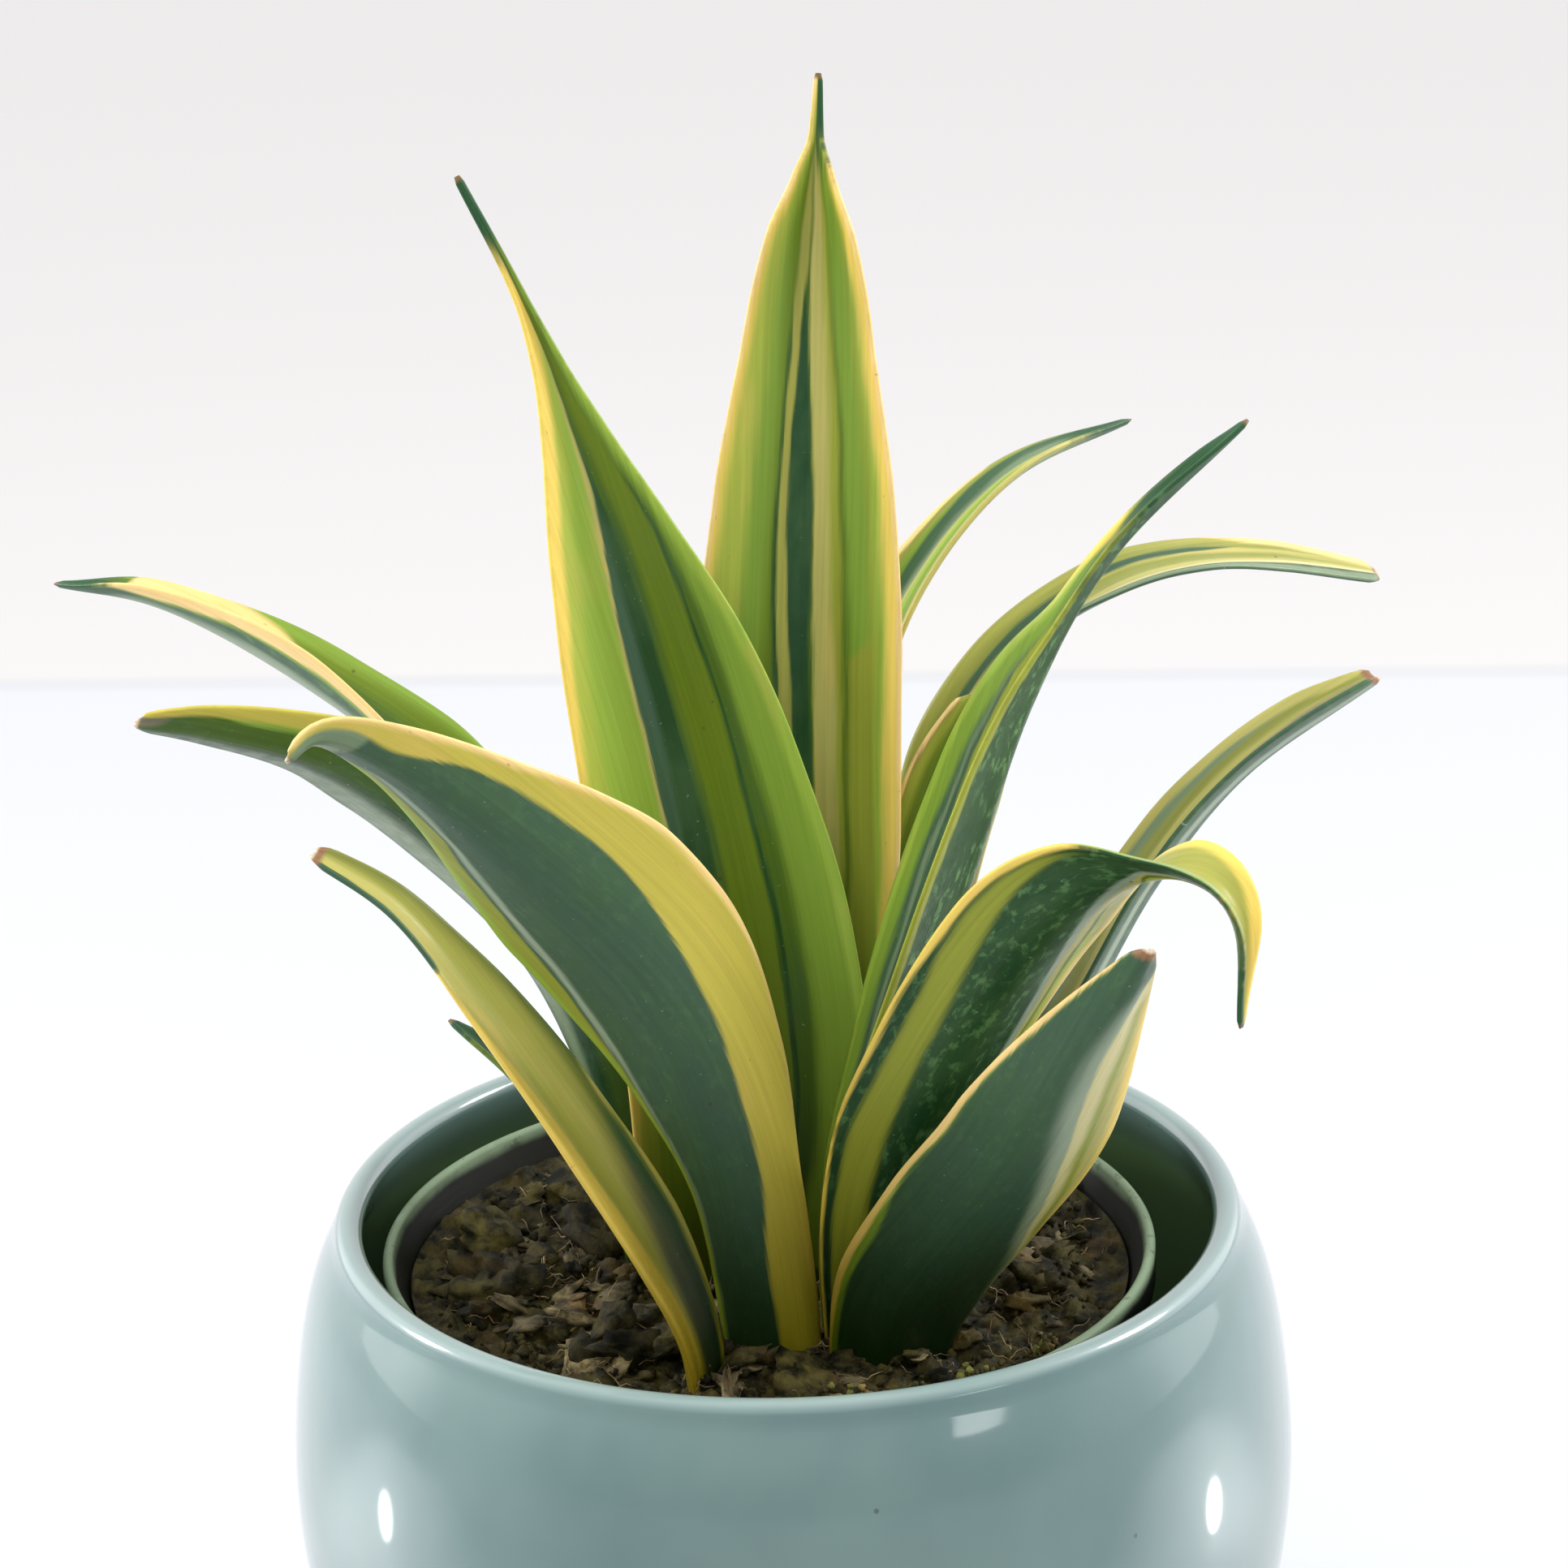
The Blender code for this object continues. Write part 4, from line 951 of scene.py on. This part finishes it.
def leaf_material(name, marks, seed):
    """Waxy striped leaf: wandering stripes, fibres, mottled dark green, flecks, dust, a spent tip, a base
    partly in painted shade.
    """
    tree = Shading(bpy.data.materials.new(name))
    across_mm, along_mm, tip_mm = tree.split(tree.attribute("blade", "Vector"))
    skin = tree.join(across_mm, along_mm, float(seed))

    def grain(across, along, detail=2.0, roughness=0.5, distortion=0.0):
        """Noise with its own scale across and along the blade."""
        return tree.noise(tree.scaled(skin, (across, along, 1.0)), 1.0, detail, roughness, distortion)

    fibre = tree.math("SUBTRACT", grain(2.4, 0.09), 0.5)
    broad = tree.math("SUBTRACT", grain(0.3, 0.05), 0.5)
    wander = tree.math("ADD", tree.times(broad, BROAD_WANDER), tree.times(fibre, FIBRE_WANDER))
    colour, side = striped(tree, marks, wander)

    grey = tree.feed(tree.nodes.new("ShaderNodeRGBToBW"), colour)
    darkness = tree.smooth(grey, 0.07, 0.2, 1.0, 0.0)
    paleness = tree.smooth(grey, 0.25, 0.5)

    mottle = tree.smooth(grain(0.11, 0.05, 3.0, 0.6), 0.4, 0.66)
    colour = tree.tint(colour, "mottle", mottle, darkness, 0.5)
    marble = tree.smooth(grain(0.62, 0.3, 4.0, 0.65, 0.3), 0.5, 0.66)
    area = tree.smooth(grain(0.07, 0.05), 0.3, 0.55)
    strength = tree.smooth(side, 0.0, 1.0, 0.8 * marks["marbling"], 0.25 * marks["marbling"])
    colour = tree.tint(colour, "marble", marble, area, darkness, strength)

    streak = tree.smooth(grain(1.3, 0.02, 4.0, 0.6), 0.25, 0.75, 0.88, 1.06)
    colour = tree.mix(1.0, colour, tree.join_grey(streak), "MULTIPLY")
    blush = tree.smooth(grain(0.16, 0.05, 3.0), 0.52, 0.7)
    colour = tree.tint(colour, "blush", blush, paleness, 0.3)

    fleck = tree.smooth(grain(1.4, 0.5), 0.71, 0.77)
    colour = tree.tint(colour, "fleck", fleck, paleness, 0.6)
    pit = tree.smooth(tree.spots(skin, 0.16), 0.03, 0.07, 1.0, 0.0)
    rare = tree.smooth(grain(0.09, 0.06, 1.0), 0.56, 0.6)
    colour = tree.tint(colour, "pit", pit, rare, 0.7)
    dust = tree.smooth(tree.noise(skin, 1.6, 2.0), 0.72, 0.78)
    colour = tree.tint(colour, "dust", dust, darkness, 0.35)

    # Painted shade near the peat, partly the leaf's own darker base: the lower blade darkens, its foot most
    low = tree.smooth(along_mm, *LOW_STRETCH, 1.0, 0.0)
    shade = tree.mix(darkness, linear("pale_base_shade"), linear("dark_base_shade"))
    colour = tree.mix(low, colour, shade, "MULTIPLY")
    foot = tree.smooth(along_mm, *FOOT_STRETCH, 0.6, 0.0)
    colour = tree.mix(foot, colour, linear("foot"), "MULTIPLY")

    kind, reach, spike_side = marks["tip"]
    uneven = tree.math("ADD", tip_mm, tree.times(fibre, 0.9 * reach))
    if kind == "spike":
        share = tree.smooth(uneven, 0.45 * reach, 1.1 * reach, 1.0, 0.0)
        if spike_side:
            share = tree.times(share, tree.smooth(tree.times(across_mm, float(spike_side)), -0.5, 0.7))
        colour = tree.tint(colour, "spike", share)
        colour = tree.tint(colour, "spike_end", tree.smooth(tip_mm, 0.3, 1.2, 1.0, 0.0))
    else:
        colour = tree.tint(colour, "dry", tree.smooth(uneven, 0.7 * reach, 1.3 * reach, 1.0, 0.0))
        colour = tree.tint(colour, "husk", tree.smooth(tip_mm, 0.3, 0.9, 1.0, 0.0))

    roughness = tree.smooth(tree.noise(skin, 0.5, 3.0), 0.3, 0.7, *LEAF_ROUGHNESS)
    rough = tree.times(tree.noise(skin, 3.5, 2.0), 0.3)
    tree.bump(tree.math("ADD", grain(2.2, 0.05, 3.0), rough), 0.22, 0.0002)
    return tree.finish(colour, roughness, Specular_IOR_Level=0.3, Coat_Weight=0.03, Coat_Roughness=0.25,
                       Subsurface_Weight=0.06, Subsurface_Scale=0.002)


def make_leaves():
    """Add every leaf, each with its own seed for its wave and its grain."""
    for seed, (name, leaf) in enumerate(LEAVES.items(), start=3):
        material = leaf_material(name.replace("leaf", "skin"), MARKINGS[name], seed)
        add_piece(name + "_fine", leaf_mesh(name, leaf, seed), material, "leaf", name)


def barrel_faces(rings, steps):
    """Faces of a body of rings of points, closed at each end by a single point."""
    end = 1 + rings * steps
    last = end - steps
    faces = []
    for step in range(steps):
        after = (step + 1) % steps
        faces.append((0, 1 + step, 1 + after))
        for low in range(1, last, steps):
            high = low + steps
            faces.append((low + step, high + step, high + after, low + after))
        faces.append((last + step, end, last + after))
    return faces


def turned_mesh(name, profile, centre=(0.0, 0.0)):
    """Turn a profile of (radius, height) about the vertical axis. Its ends lie on the axis."""
    angles = [math.tau * step / TURN_STEPS for step in range(TURN_STEPS)]
    points = [(0.0, 0.0, profile[0][1])]
    for radius, height in profile[1:-1]:
        points += [(radius * math.cos(angle), radius * math.sin(angle), height) for angle in angles]
    points.append((0.0, 0.0, profile[-1][1]))
    return barrel_mesh(name, points, len(profile) - 2, TURN_STEPS, centre)


def barrel_mesh(name, points, rings, steps, centre):
    """Mesh of rings of points, moved to a centre and turned into metres."""
    placed = [((x + centre[0]) * MM, (y + centre[1]) * MM, z * MM) for x, y, z in points]
    return new_mesh(name, placed, barrel_faces(rings, steps))


def offset_inward(outline, distance):
    """Move an outline that runs down the outside towards the axis side by a wall's thickness."""
    outline = np.asarray(outline)
    direction = unit(np.gradient(outline, axis=0))
    inward = np.stack([direction[:, 1], -direction[:, 0]], 1)
    return outline + distance * inward


def cache_profile():
    """Inside floor, inner wall, rounded lip, outer wall and foot."""
    outer, _ = smooth_curve(CACHE_OUTLINE, CACHE_PROFILE_POINTS)
    inner = offset_inward(outer, CACHE_WALL)
    inner[0] = (CACHE_LIP_RADIUS - CACHE_WALL, outer[0, 1])
    inner = inner[inner[:, 1] > CACHE_FLOOR + CACHE_WALL]
    lip_radius = CACHE_WALL / 2
    lip = []
    for angle in np.linspace(math.pi, 0.0, CACHE_LIP_POINTS + 2)[1:-1]:
        lip.append((CACHE_LIP_RADIUS - lip_radius + lip_radius * math.cos(angle),
                    outer[0, 1] + lip_radius * math.sin(angle)))
    floor_edge = inner[-1, 0] - CACHE_WALL
    floor = [(0.0, CACHE_FLOOR), (floor_edge, CACHE_FLOOR)]
    profile = floor + [tuple(p) for p in inner[::-1]] + lip + [tuple(p) for p in outer] + [(0.0, 0.0)]
    return [(radius * TURN_FIT, height) for radius, height in profile]


def glaze_material():
    """Duck-egg glaze: soft tone changes, fine pinholes, a few dark specks and a wet gloss."""
    tree = Shading(bpy.data.materials.new("duck_egg_glaze"))
    where = tree.where()
    tone = tree.smooth(tree.noise(where, 16.0, 4.0, 0.6), 0.35, 0.65)
    colour = tree.mix(tone, linear("glaze"), linear("glaze_light"))
    fine = tree.smooth(tree.noise(where, 1300.0, 2.0), 0.56, 0.72)
    colour = tree.tint(colour, "glaze_grain", fine, 0.14)
    pinhole = tree.smooth(tree.spots(where, 300.0), 0.04, 0.09, 1.0, 0.0)
    some = tree.smooth(tree.noise(where, 45.0, 2.0), 0.56, 0.66)
    colour = tree.tint(colour, "pinhole", pinhole, some, 0.45)
    speck = tree.smooth(tree.spots(where, 75.0), 0.022, 0.034, 1.0, 0.0)
    colour = tree.tint(colour, "speck", speck, 0.7)
    # Painted shade and painted reflection of the leaves: the glaze turns green below the lip inside
    colour = tree.tint(colour, "glaze_inside_shade", tree.attribute("inside"))
    height = tree.split(where)[2]
    # Painted highlight: the top of the lip is tinted pale for the light it catches
    lip_highlight = tree.smooth(height, (CACHE_HEIGHT - LIP_HIGHLIGHT_BAND) * MM, CACHE_HEIGHT * MM)
    colour = tree.tint(colour, "glaze_lip_highlight", lip_highlight, 0.35)
    tree.bump(tree.noise(where, 60.0, 2.0), 0.12, 0.0006)
    return tree.finish(colour, 0.3, Coat_Weight=1.0, Coat_Roughness=0.07, Specular_IOR_Level=0.4)


def make_cache_pot():
    """Add the cache pot, and note how deep inside it each point lies."""
    profile = cache_profile()
    mesh = turned_mesh("cache_pot_glazed", profile)
    lip = max(range(len(profile)), key=lambda i: profile[i][1])
    depth = [smoothstep(0.0, INSIDE_DEPTH, profile[lip][1] - height) if i < lip else 0.0
             for i, (_, height) in enumerate(profile)]
    inside = [depth[0]] + [value for value in depth[1:-1] for _ in range(TURN_STEPS)] + [0.0]
    add_attribute(mesh, "inside", inside)
    add_piece("cache_pot_glazed", mesh, glaze_material(), "glaze", "cache_pot")


def nursery_inner_radius(height):
    """Inner radius of the tapered nursery pot at a height above the table."""
    top_radius = NURSERY_RIM_RADIUS - NURSERY_RIM_WIDTH
    bottom_radius = NURSERY_FOOT_RADIUS - NURSERY_WALL
    bottom = CACHE_FLOOR + CLEARANCE
    share = (height - bottom) / (NURSERY_TOP - bottom)
    return bottom_radius + (top_radius - bottom_radius) * share


def rounded(centre, radius, start, end):
    """Points on an arc in a profile, with angles in degrees."""
    arc = []
    for angle in np.linspace(math.radians(start), math.radians(end), RIM_ROUND_POINTS):
        arc.append((centre[0] + radius * math.cos(angle), centre[1] + radius * math.sin(angle)))
    return arc


def nursery_profile():
    """Inside floor, tapered wall, rolled rim, skirt and foot."""
    bottom = CACHE_FLOOR + CLEARANCE
    skirt = NURSERY_TOP - NURSERY_RIM_DEPTH
    edge = NURSERY_RIM_ROLL / 2
    roll = NURSERY_RIM_RADIUS - NURSERY_RIM_ROLL
    profile = [(0.0, bottom + NURSERY_WALL),
               (nursery_inner_radius(bottom + NURSERY_WALL), bottom + NURSERY_WALL),
               (nursery_inner_radius(skirt), skirt),
               (roll - 0.4, NURSERY_TOP - 3.0 * edge)]
    profile += rounded((roll + edge, NURSERY_TOP - edge), edge, 180, 90)
    profile += rounded((NURSERY_RIM_RADIUS - edge, NURSERY_TOP - edge), edge, 90, 0)
    profile += [(NURSERY_RIM_RADIUS, skirt),
                (nursery_inner_radius(skirt) + NURSERY_WALL, skirt),
                (NURSERY_FOOT_RADIUS, bottom),
                (0.0, bottom)]
    return profile


def plastic_material():
    """Pale green moulded plastic with scuffs, painted near black below its rolled rim as shade inside the
    pots.
    """
    tree = Shading(bpy.data.materials.new("nursery_plastic"))
    where = tree.where()
    tone = tree.smooth(tree.noise(where, 40.0, 3.0), 0.3, 0.7)
    colour = tree.mix(tone, linear("plastic"), linear("plastic_light"))
    dirt = tree.smooth(tree.noise(where, 320.0, 4.0, 0.7), 0.58, 0.7)
    colour = tree.tint(colour, "plastic_dirt", dirt, 0.5)
    scuff = tree.smooth(tree.noise(tree.scaled(where, (1.0, 1.0, 6.0)), 180.0, 3.0), 0.6, 0.68)
    colour = tree.tint(colour, "plastic_scuff", scuff, 0.25)
    uneven = tree.times(tree.noise(where, 90.0, 3.0), 0.002)
    height = tree.math("ADD", tree.split(where)[2], uneven)
    # Painted shade: below its rim the nursery pot is painted near black
    below = tree.smooth(height, (NURSERY_TOP + PALE_FROM) * MM, (NURSERY_TOP + PALE_TO) * MM, 1.0, 0.0)
    colour = tree.tint(colour, "plastic_shade", below)
    tree.bump(tree.noise(tree.scaled(where, (0.2, 0.2, 8.0)), 160.0, 2.0), 0.2, 0.0002)
    return tree.finish(colour, tree.smooth(tone, 0.0, 1.0, 0.5, 0.64), Specular_IOR_Level=0.3)


def make_nursery_pot():
    """Add the plain pot that stands inside."""
    mesh = turned_mesh("grow_pot_moulded", nursery_profile(), NURSERY_PLACE)
    add_piece("grow_pot_moulded", mesh, plastic_material(), "nursery_plastic", "grow_pot")


def soil_height(x, y):
    """Relief of the peat: the part's two sizes of lumps, with cracked clods and grit on them."""
    coarse = noise.noise(Vector((x / SOIL_LUMP, y / SOIL_LUMP, 0.0)))
    fine = noise.noise(Vector((x / SOIL_CRUMB, y / SOIL_CRUMB, 5.0)))
    bend = [0.5 * noise.noise(Vector((x / CLOD_BEND, y / CLOD_BEND, layer))) for layer in (1.0, 7.0)]
    bent = Vector((x / CLOD_SIZE + bend[0], y / CLOD_SIZE + bend[1], 0.0))
    near, second = noise.voronoi(bent)[0][:2]
    clod = min(1.0, 1.8 * (second - near))
    grit = noise.fractal(Vector((x / GRIT_SIZE, y / GRIT_SIZE, 2.0)), 0.6, 2.0, 4)
    return SOIL_RELIEF * (coarse + fine / 2) + CLOD_HEIGHT * (clod - 0.6) + GRIT_HEIGHT * grit


def soil_mesh():
    """Peat filling the nursery pot: a rough disc on a plain tapered body."""
    top_radius = nursery_inner_radius(SOIL_TOP) - CLEARANCE
    bottom = CACHE_FLOOR + NURSERY_WALL + 2 * CLEARANCE
    bottom_radius = nursery_inner_radius(bottom) - CLEARANCE
    points = [(0.0, 0.0, soil_height(0.0, 0.0) + SOIL_TOP)]
    angles = [math.tau * step / SOIL_STEPS for step in range(SOIL_STEPS)]
    for ring in range(1, SOIL_RINGS + 1):
        radius = top_radius * ring / SOIL_RINGS
        for angle in angles:
            x = radius * math.cos(angle)
            y = radius * math.sin(angle)
            points.append((x, y, SOIL_TOP + soil_height(x, y) * (ring < SOIL_RINGS)))
    for angle in angles:
        points.append((bottom_radius * math.cos(angle), bottom_radius * math.sin(angle), bottom))
    points.append((0.0, 0.0, bottom))
    return barrel_mesh("peat", points, SOIL_RINGS + 1, SOIL_STEPS, NURSERY_PLACE)


def peat_material(name):
    """Damp crumbly matter in three tones, each lump with its own."""
    dark, light, accent = SOIL_TONES[name]
    tree = Shading(bpy.data.materials.new(name))
    where = tree.where()
    tone = tree.smooth(tree.noise(where, 260.0, 4.0, 0.65), 0.35, 0.68)
    colour = tree.mix(tone, linear(dark), linear(light))
    red = tree.smooth(tree.noise(where, 120.0, 3.0), 0.55, 0.68)
    colour = tree.mix(tree.times(red, 0.7), colour, linear(accent))
    own = tree.attribute("tone")
    colour = tree.mix(1.0, colour, tree.join_grey(tree.math("ADD", 1.0, own)), "MULTIPLY")
    tree.bump(tree.noise(where, 1400.0, 4.0, 0.7), 0.7, 0.0004)
    return tree.finish(colour, 0.78, Specular_IOR_Level=0.3)


def lump(rng, size, squash, rings, steps, tilt):
    """One irregular lump as points and faces: a ball pushed about by noise, flattened and turned."""
    offset = Vector((rng.uniform(0, 50), rng.uniform(0, 50), rng.uniform(0, 50)))
    turn = Matrix.Rotation(rng.uniform(0, math.tau), 3, "Z")
    turn = turn @ Matrix.Rotation(rng.uniform(-tilt, tilt), 3, "Y")
    points = []
    for ring in range(1, rings):
        polar = math.pi * ring / rings
        for step in range(steps):
            around = math.tau * step / steps
            ray = Vector((math.sin(polar) * math.cos(around), math.sin(polar) * math.sin(around),
                          math.cos(polar)))
            reach = 1 + 0.8 * noise.noise(ray * 1.3 + offset) + 0.5 * noise.noise(ray * 3.1 + offset)
            points.append(ray * reach)
    points = [Vector((0, 0, 1))] + points + [Vector((0, 0, -1))]
    points = [turn @ Vector((p.x * size * squash[0], p.y * size * squash[1], p.z * size * squash[2]))
              for p in points]
    return points, barrel_faces(rings - 1, steps)


def strand(path, radius, sides=4):
    """A thin fibre along a path, as points and faces, pinched at its ends."""
    path = [Vector(p) for p in path]
    points = []
    for i, spot in enumerate(path):
        ahead = (path[min(i + 1, len(path) - 1)] - path[max(i - 1, 0)]).normalized()
        side = ahead.cross(Vector((0, 0, 1)))
        side = side.normalized() if side.length > 0.01 else Vector((1, 0, 0))
        up = side.cross(ahead)
        share = i / (len(path) - 1)
        size = radius * (0.35 + 0.65 * math.sin(math.pi * share))
        for k in range(sides):
            angle = math.tau * k / sides
            points.append(spot + size * (math.cos(angle) * side + math.sin(angle) * up))
    faces = []
    for i in range(len(path) - 1):
        for k in range(sides):
            after = (k + 1) % sides
            low = i * sides
            high = low + sides
            faces.append((low + k, high + k, high + after, low + after))
    faces.append(tuple(range(sides)))
    faces.append(tuple(len(points) - 1 - k for k in range(sides)))
    return points, faces


class Heap:
    """Many small bodies gathered into one mesh, each with its own tone."""

    def __init__(self):
        self.points = []
        self.faces = []
        self.tones = []

    def add(self, points, faces, place, tone):
        start = len(self.points)
        self.points += [tuple((p + place) * MM) for p in points]
        self.faces += [tuple(start + i for i in face) for face in faces]
        self.tones += [tone] * len(points)

    def lay(self, name, material):
        """Put the bodies in the scene as one piece."""
        mesh = new_mesh(name, self.points, self.faces)
        add_attribute(mesh, "tone", self.tones)
        add_piece(name, mesh, material, "soil")


def on_soil(x, y):
    """A point on the peat's top, from its distance to the nursery pot's axis."""
    return Vector((x + NURSERY_PLACE[0], y + NURSERY_PLACE[1], SOIL_TOP + soil_height(x, y)))


def wall_distance(margin):
    """How far from the nursery pot's axis things may lie, with a margin to its wall."""
    return nursery_inner_radius(SOIL_TOP) - margin


def random_spot(rng, reach):
    """A place on a disc, evenly spread."""
    angle = rng.uniform(0, math.tau)
    radius = reach * math.sqrt(rng.random())
    return radius * math.cos(angle), radius * math.sin(angle)


def scatter(rng, heap, count, margin, sizes, shape, detail, tones, tilt):
    """Strew lumps over the peat."""
    reach = wall_distance(margin)
    for _ in range(count):
        x, y = random_spot(rng, reach)
        size = sizes[0] + (sizes[1] - sizes[0]) * rng.random() ** 2
        squash = (1.0, rng.uniform(*shape[0]), rng.uniform(*shape[1]))
        points, faces = lump(rng, size, squash, *detail, tilt)
        place = on_soil(x, y) + Vector((0, 0, 0.4 * size * squash[2]))
        heap.add(points, faces, place, rng.uniform(*tones))


def lay_fibres(rng, heap, count, margin, steps, bend, radius):
    """Lay thin fibres on the peat, each wandering as it goes."""
    reach = wall_distance(margin)
    for _ in range(count):
        x, y = random_spot(rng, reach)
        heading = rng.uniform(0, math.tau)
        step = rng.uniform(*steps)
        lift = rng.uniform(0.0, 0.25)
        path = []
        for i in range(9):
            heading += rng.uniform(-bend, bend)
            x += step * math.cos(heading)
            y += step * math.sin(heading)
            if math.hypot(x, y) > reach + 2:
                break
            path.append(on_soil(x, y) + Vector((0, 0, 0.5 + lift * i)))
        if len(path) > 4:
            points, faces = strand(path, rng.uniform(*radius))
            heap.add(points, faces, Vector((0, 0, 0)), rng.uniform(-0.6, 0.5))


def make_moss(rng):
    """Tufts of greenish crumbs at the front right of the peat."""
    moss = Heap()
    for across, deep, spread in MOSS_TUFTS:
        for _ in range(MOSS_CRUMBS):
            x = across + rng.gauss(0, spread)
            y = deep + rng.gauss(0, 0.45 * spread)
            if math.hypot(x, y) > wall_distance(3.0):
                continue
            points, faces = lump(rng, rng.uniform(0.35, 0.95), (1.0, 0.7, 0.9), 5, 6, 1.2)
            lift = Vector((0, 0, rng.uniform(0.2, 2.2)))
            moss.add(points, faces, on_soil(x, y) + lift, rng.uniform(-0.6, 0.9))
    moss.lay("moss_crumbs", peat_material("moss"))


def make_soil():
    """Add the peat and all that lies on it."""
    rng = random.Random(SOIL_SEED)
    peat = peat_material("damp_peat")
    mesh = soil_mesh()
    add_attribute(mesh, "tone", np.zeros(len(mesh.vertices)))
    add_piece("peat", mesh, peat, "soil", "soil")

    crumbs = Heap()
    scatter(rng, crumbs, *FINE_CRUMBS)
    scatter(rng, crumbs, *LARGE_CRUMBS)
    crumbs.lay("peat_crumbs", peat)

    chips = Heap()
    scatter(rng, chips, *SMALL_CHIPS)
    scatter(rng, chips, *LARGE_CHIPS)
    bark = peat_material("bark")
    chips.lay("bark_chips", bark)

    fibres = Heap()
    lay_fibres(rng, fibres, *CURLED_FIBRES)
    lay_fibres(rng, fibres, *LONG_FIBRES)
    fibres.lay("peat_fibres", peat_material("straw"))

    scrap = Heap()
    points, faces = lump(rng, SCRAP_SIZE, (1.0, 0.24, 0.8), 12, 16, 0.3)
    scrap.add(points, faces, on_soil(*SCRAP_SPOT) + Vector((0, 0, 1.6)), 0.1)
    scrap.lay("dry_scrap", bark)
    make_moss(rng)


def make_camera():
    """Camera of the photo: a long lens from the front and a little above."""
    pitch = math.radians(CAMERA_PITCH)
    roll = math.radians(CAMERA_ROLL)
    back = Vector((0.0, -math.cos(pitch), math.sin(pitch)))
    up = Vector((0.0, math.sin(pitch), math.cos(pitch)))
    right = Vector((1.0, 0.0, 0.0))
    x_axis = math.cos(roll) * right - math.sin(roll) * up
    y_axis = math.sin(roll) * right + math.cos(roll) * up
    place = Matrix((x_axis, y_axis, back)).transposed().to_4x4()
    place.translation = (CAMERA_TARGET + back * CAMERA_DISTANCE) * MM
    data = bpy.data.cameras.new("camera")
    data.sensor_width = SENSOR_MM
    data.lens = SENSOR_MM * FOCAL_PIXELS / IMAGE_PIXELS
    data.clip_start = 0.01
    camera = new_object("camera", data)
    camera.matrix_world = place
    bpy.context.scene.camera = camera


def area_light(name, place, aim, size, power, shiny):
    """A soft lamp that the camera doesn't see. Only a shiny one shows in the glaze."""
    data = bpy.data.lights.new(name, "AREA")
    data.shape = "ELLIPSE" if shiny else "RECTANGLE"
    data.size, data.size_y = size
    data.energy = power
    light = new_object(name, data)
    light.location = place
    light.rotation_mode = "QUATERNION"
    light.rotation_quaternion = (Vector(aim) - Vector(place)).to_track_quat("-Z", "Y")
    light.visible_camera = False
    light.visible_glossy = shiny


def make_light():
    """White room: bright windows at the sides, dim behind the camera, with soft lamps."""
    world = bpy.data.worlds.new("white_room")
    bpy.context.scene.world = world
    tree = Shading(world, "Background")
    across, deep, _ = tree.split(tree.where("Generated"))
    room = tree.smooth(deep, -0.85, 0.3, ROOM_FRONT, ROOM_BACK)
    back = tree.smooth(deep, -0.12, 0.2)
    window = tree.smooth(tree.math("ABSOLUTE", across), 0.4, 0.7, 0.0, WINDOW_GLOW)
    tree.put(ROOM_COLOUR, tree.shader.inputs["Color"])
    tree.put(tree.math("MULTIPLY_ADD", back, window, room), tree.shader.inputs["Strength"])
    for name, lamp in LAMPS.items():
        area_light(name, *lamp)


def between(tree, value, start, full, fall, end):
    """1 from full to fall, and 0 before start and after end."""
    return tree.times(tree.smooth(value, start, full), tree.smooth(value, fall, end, 1.0, 0.0))


def make_floor():
    """Pale floor, brightest beside the pot, dim in front and a little greyer beyond the table's edge."""
    corners = [(x * FLOOR_HALF, y * FLOOR_HALF, 0) for x, y in ((-1, -1), (1, -1), (1, 1), (-1, 1))]
    mesh = new_mesh("floor", corners, [(0, 1, 2, 3)])
    floor = new_object("floor", mesh)
    tree = Shading(bpy.data.materials.new("pale_floor"))
    across, deep, _ = tree.split(tree.where())
    past_edge = tree.math("SUBTRACT", tree.math("ADD", deep, tree.times(across, TABLE_SKEW)), TABLE_EDGE)
    colour = tree.mix(tree.smooth(past_edge, 0.0, 0.006), linear("table"), linear("floor"))
    # Painted shadow: a thin darker line along the table's far edge
    edge_shadow = tree.smooth(tree.math("ABSOLUTE", past_edge), 0.002, 0.01, 0.3, 0.0)
    colour = tree.tint(colour, "edge_shadow", edge_shadow)
    beside = tree.times(between(tree, tree.math("ABSOLUTE", across), 0.1, 0.26, 0.34, 0.7),
                        between(tree, deep, -0.18, -0.02, 0.02, 0.12))
    front = tree.smooth(deep, -0.1, 0.06, 1.0, 0.0)
    glow = tree.smooth(beside, 0.0, 1.0, tree.smooth(front, 0.0, 1.0, FLOOR_GLOW, FRONT_GLOW), SIDE_GLOW)
    shade = tree.mix(tree.smooth(front, 0.0, 1.0, 0.3, 0.14), linear("black"), colour)
    mesh.materials.append(tree.finish(shade, 0.6, Specular_IOR_Level=0.1, Emission_Color=colour,
                                      Emission_Strength=glow))


def main():
    """Build the plant, its pots and the room."""
    bpy.context.scene.view_settings.view_transform = "Standard"
    make_cache_pot()
    make_nursery_pot()
    make_soil()
    make_leaves()
    make_floor()
    make_light()
    make_camera()


main()
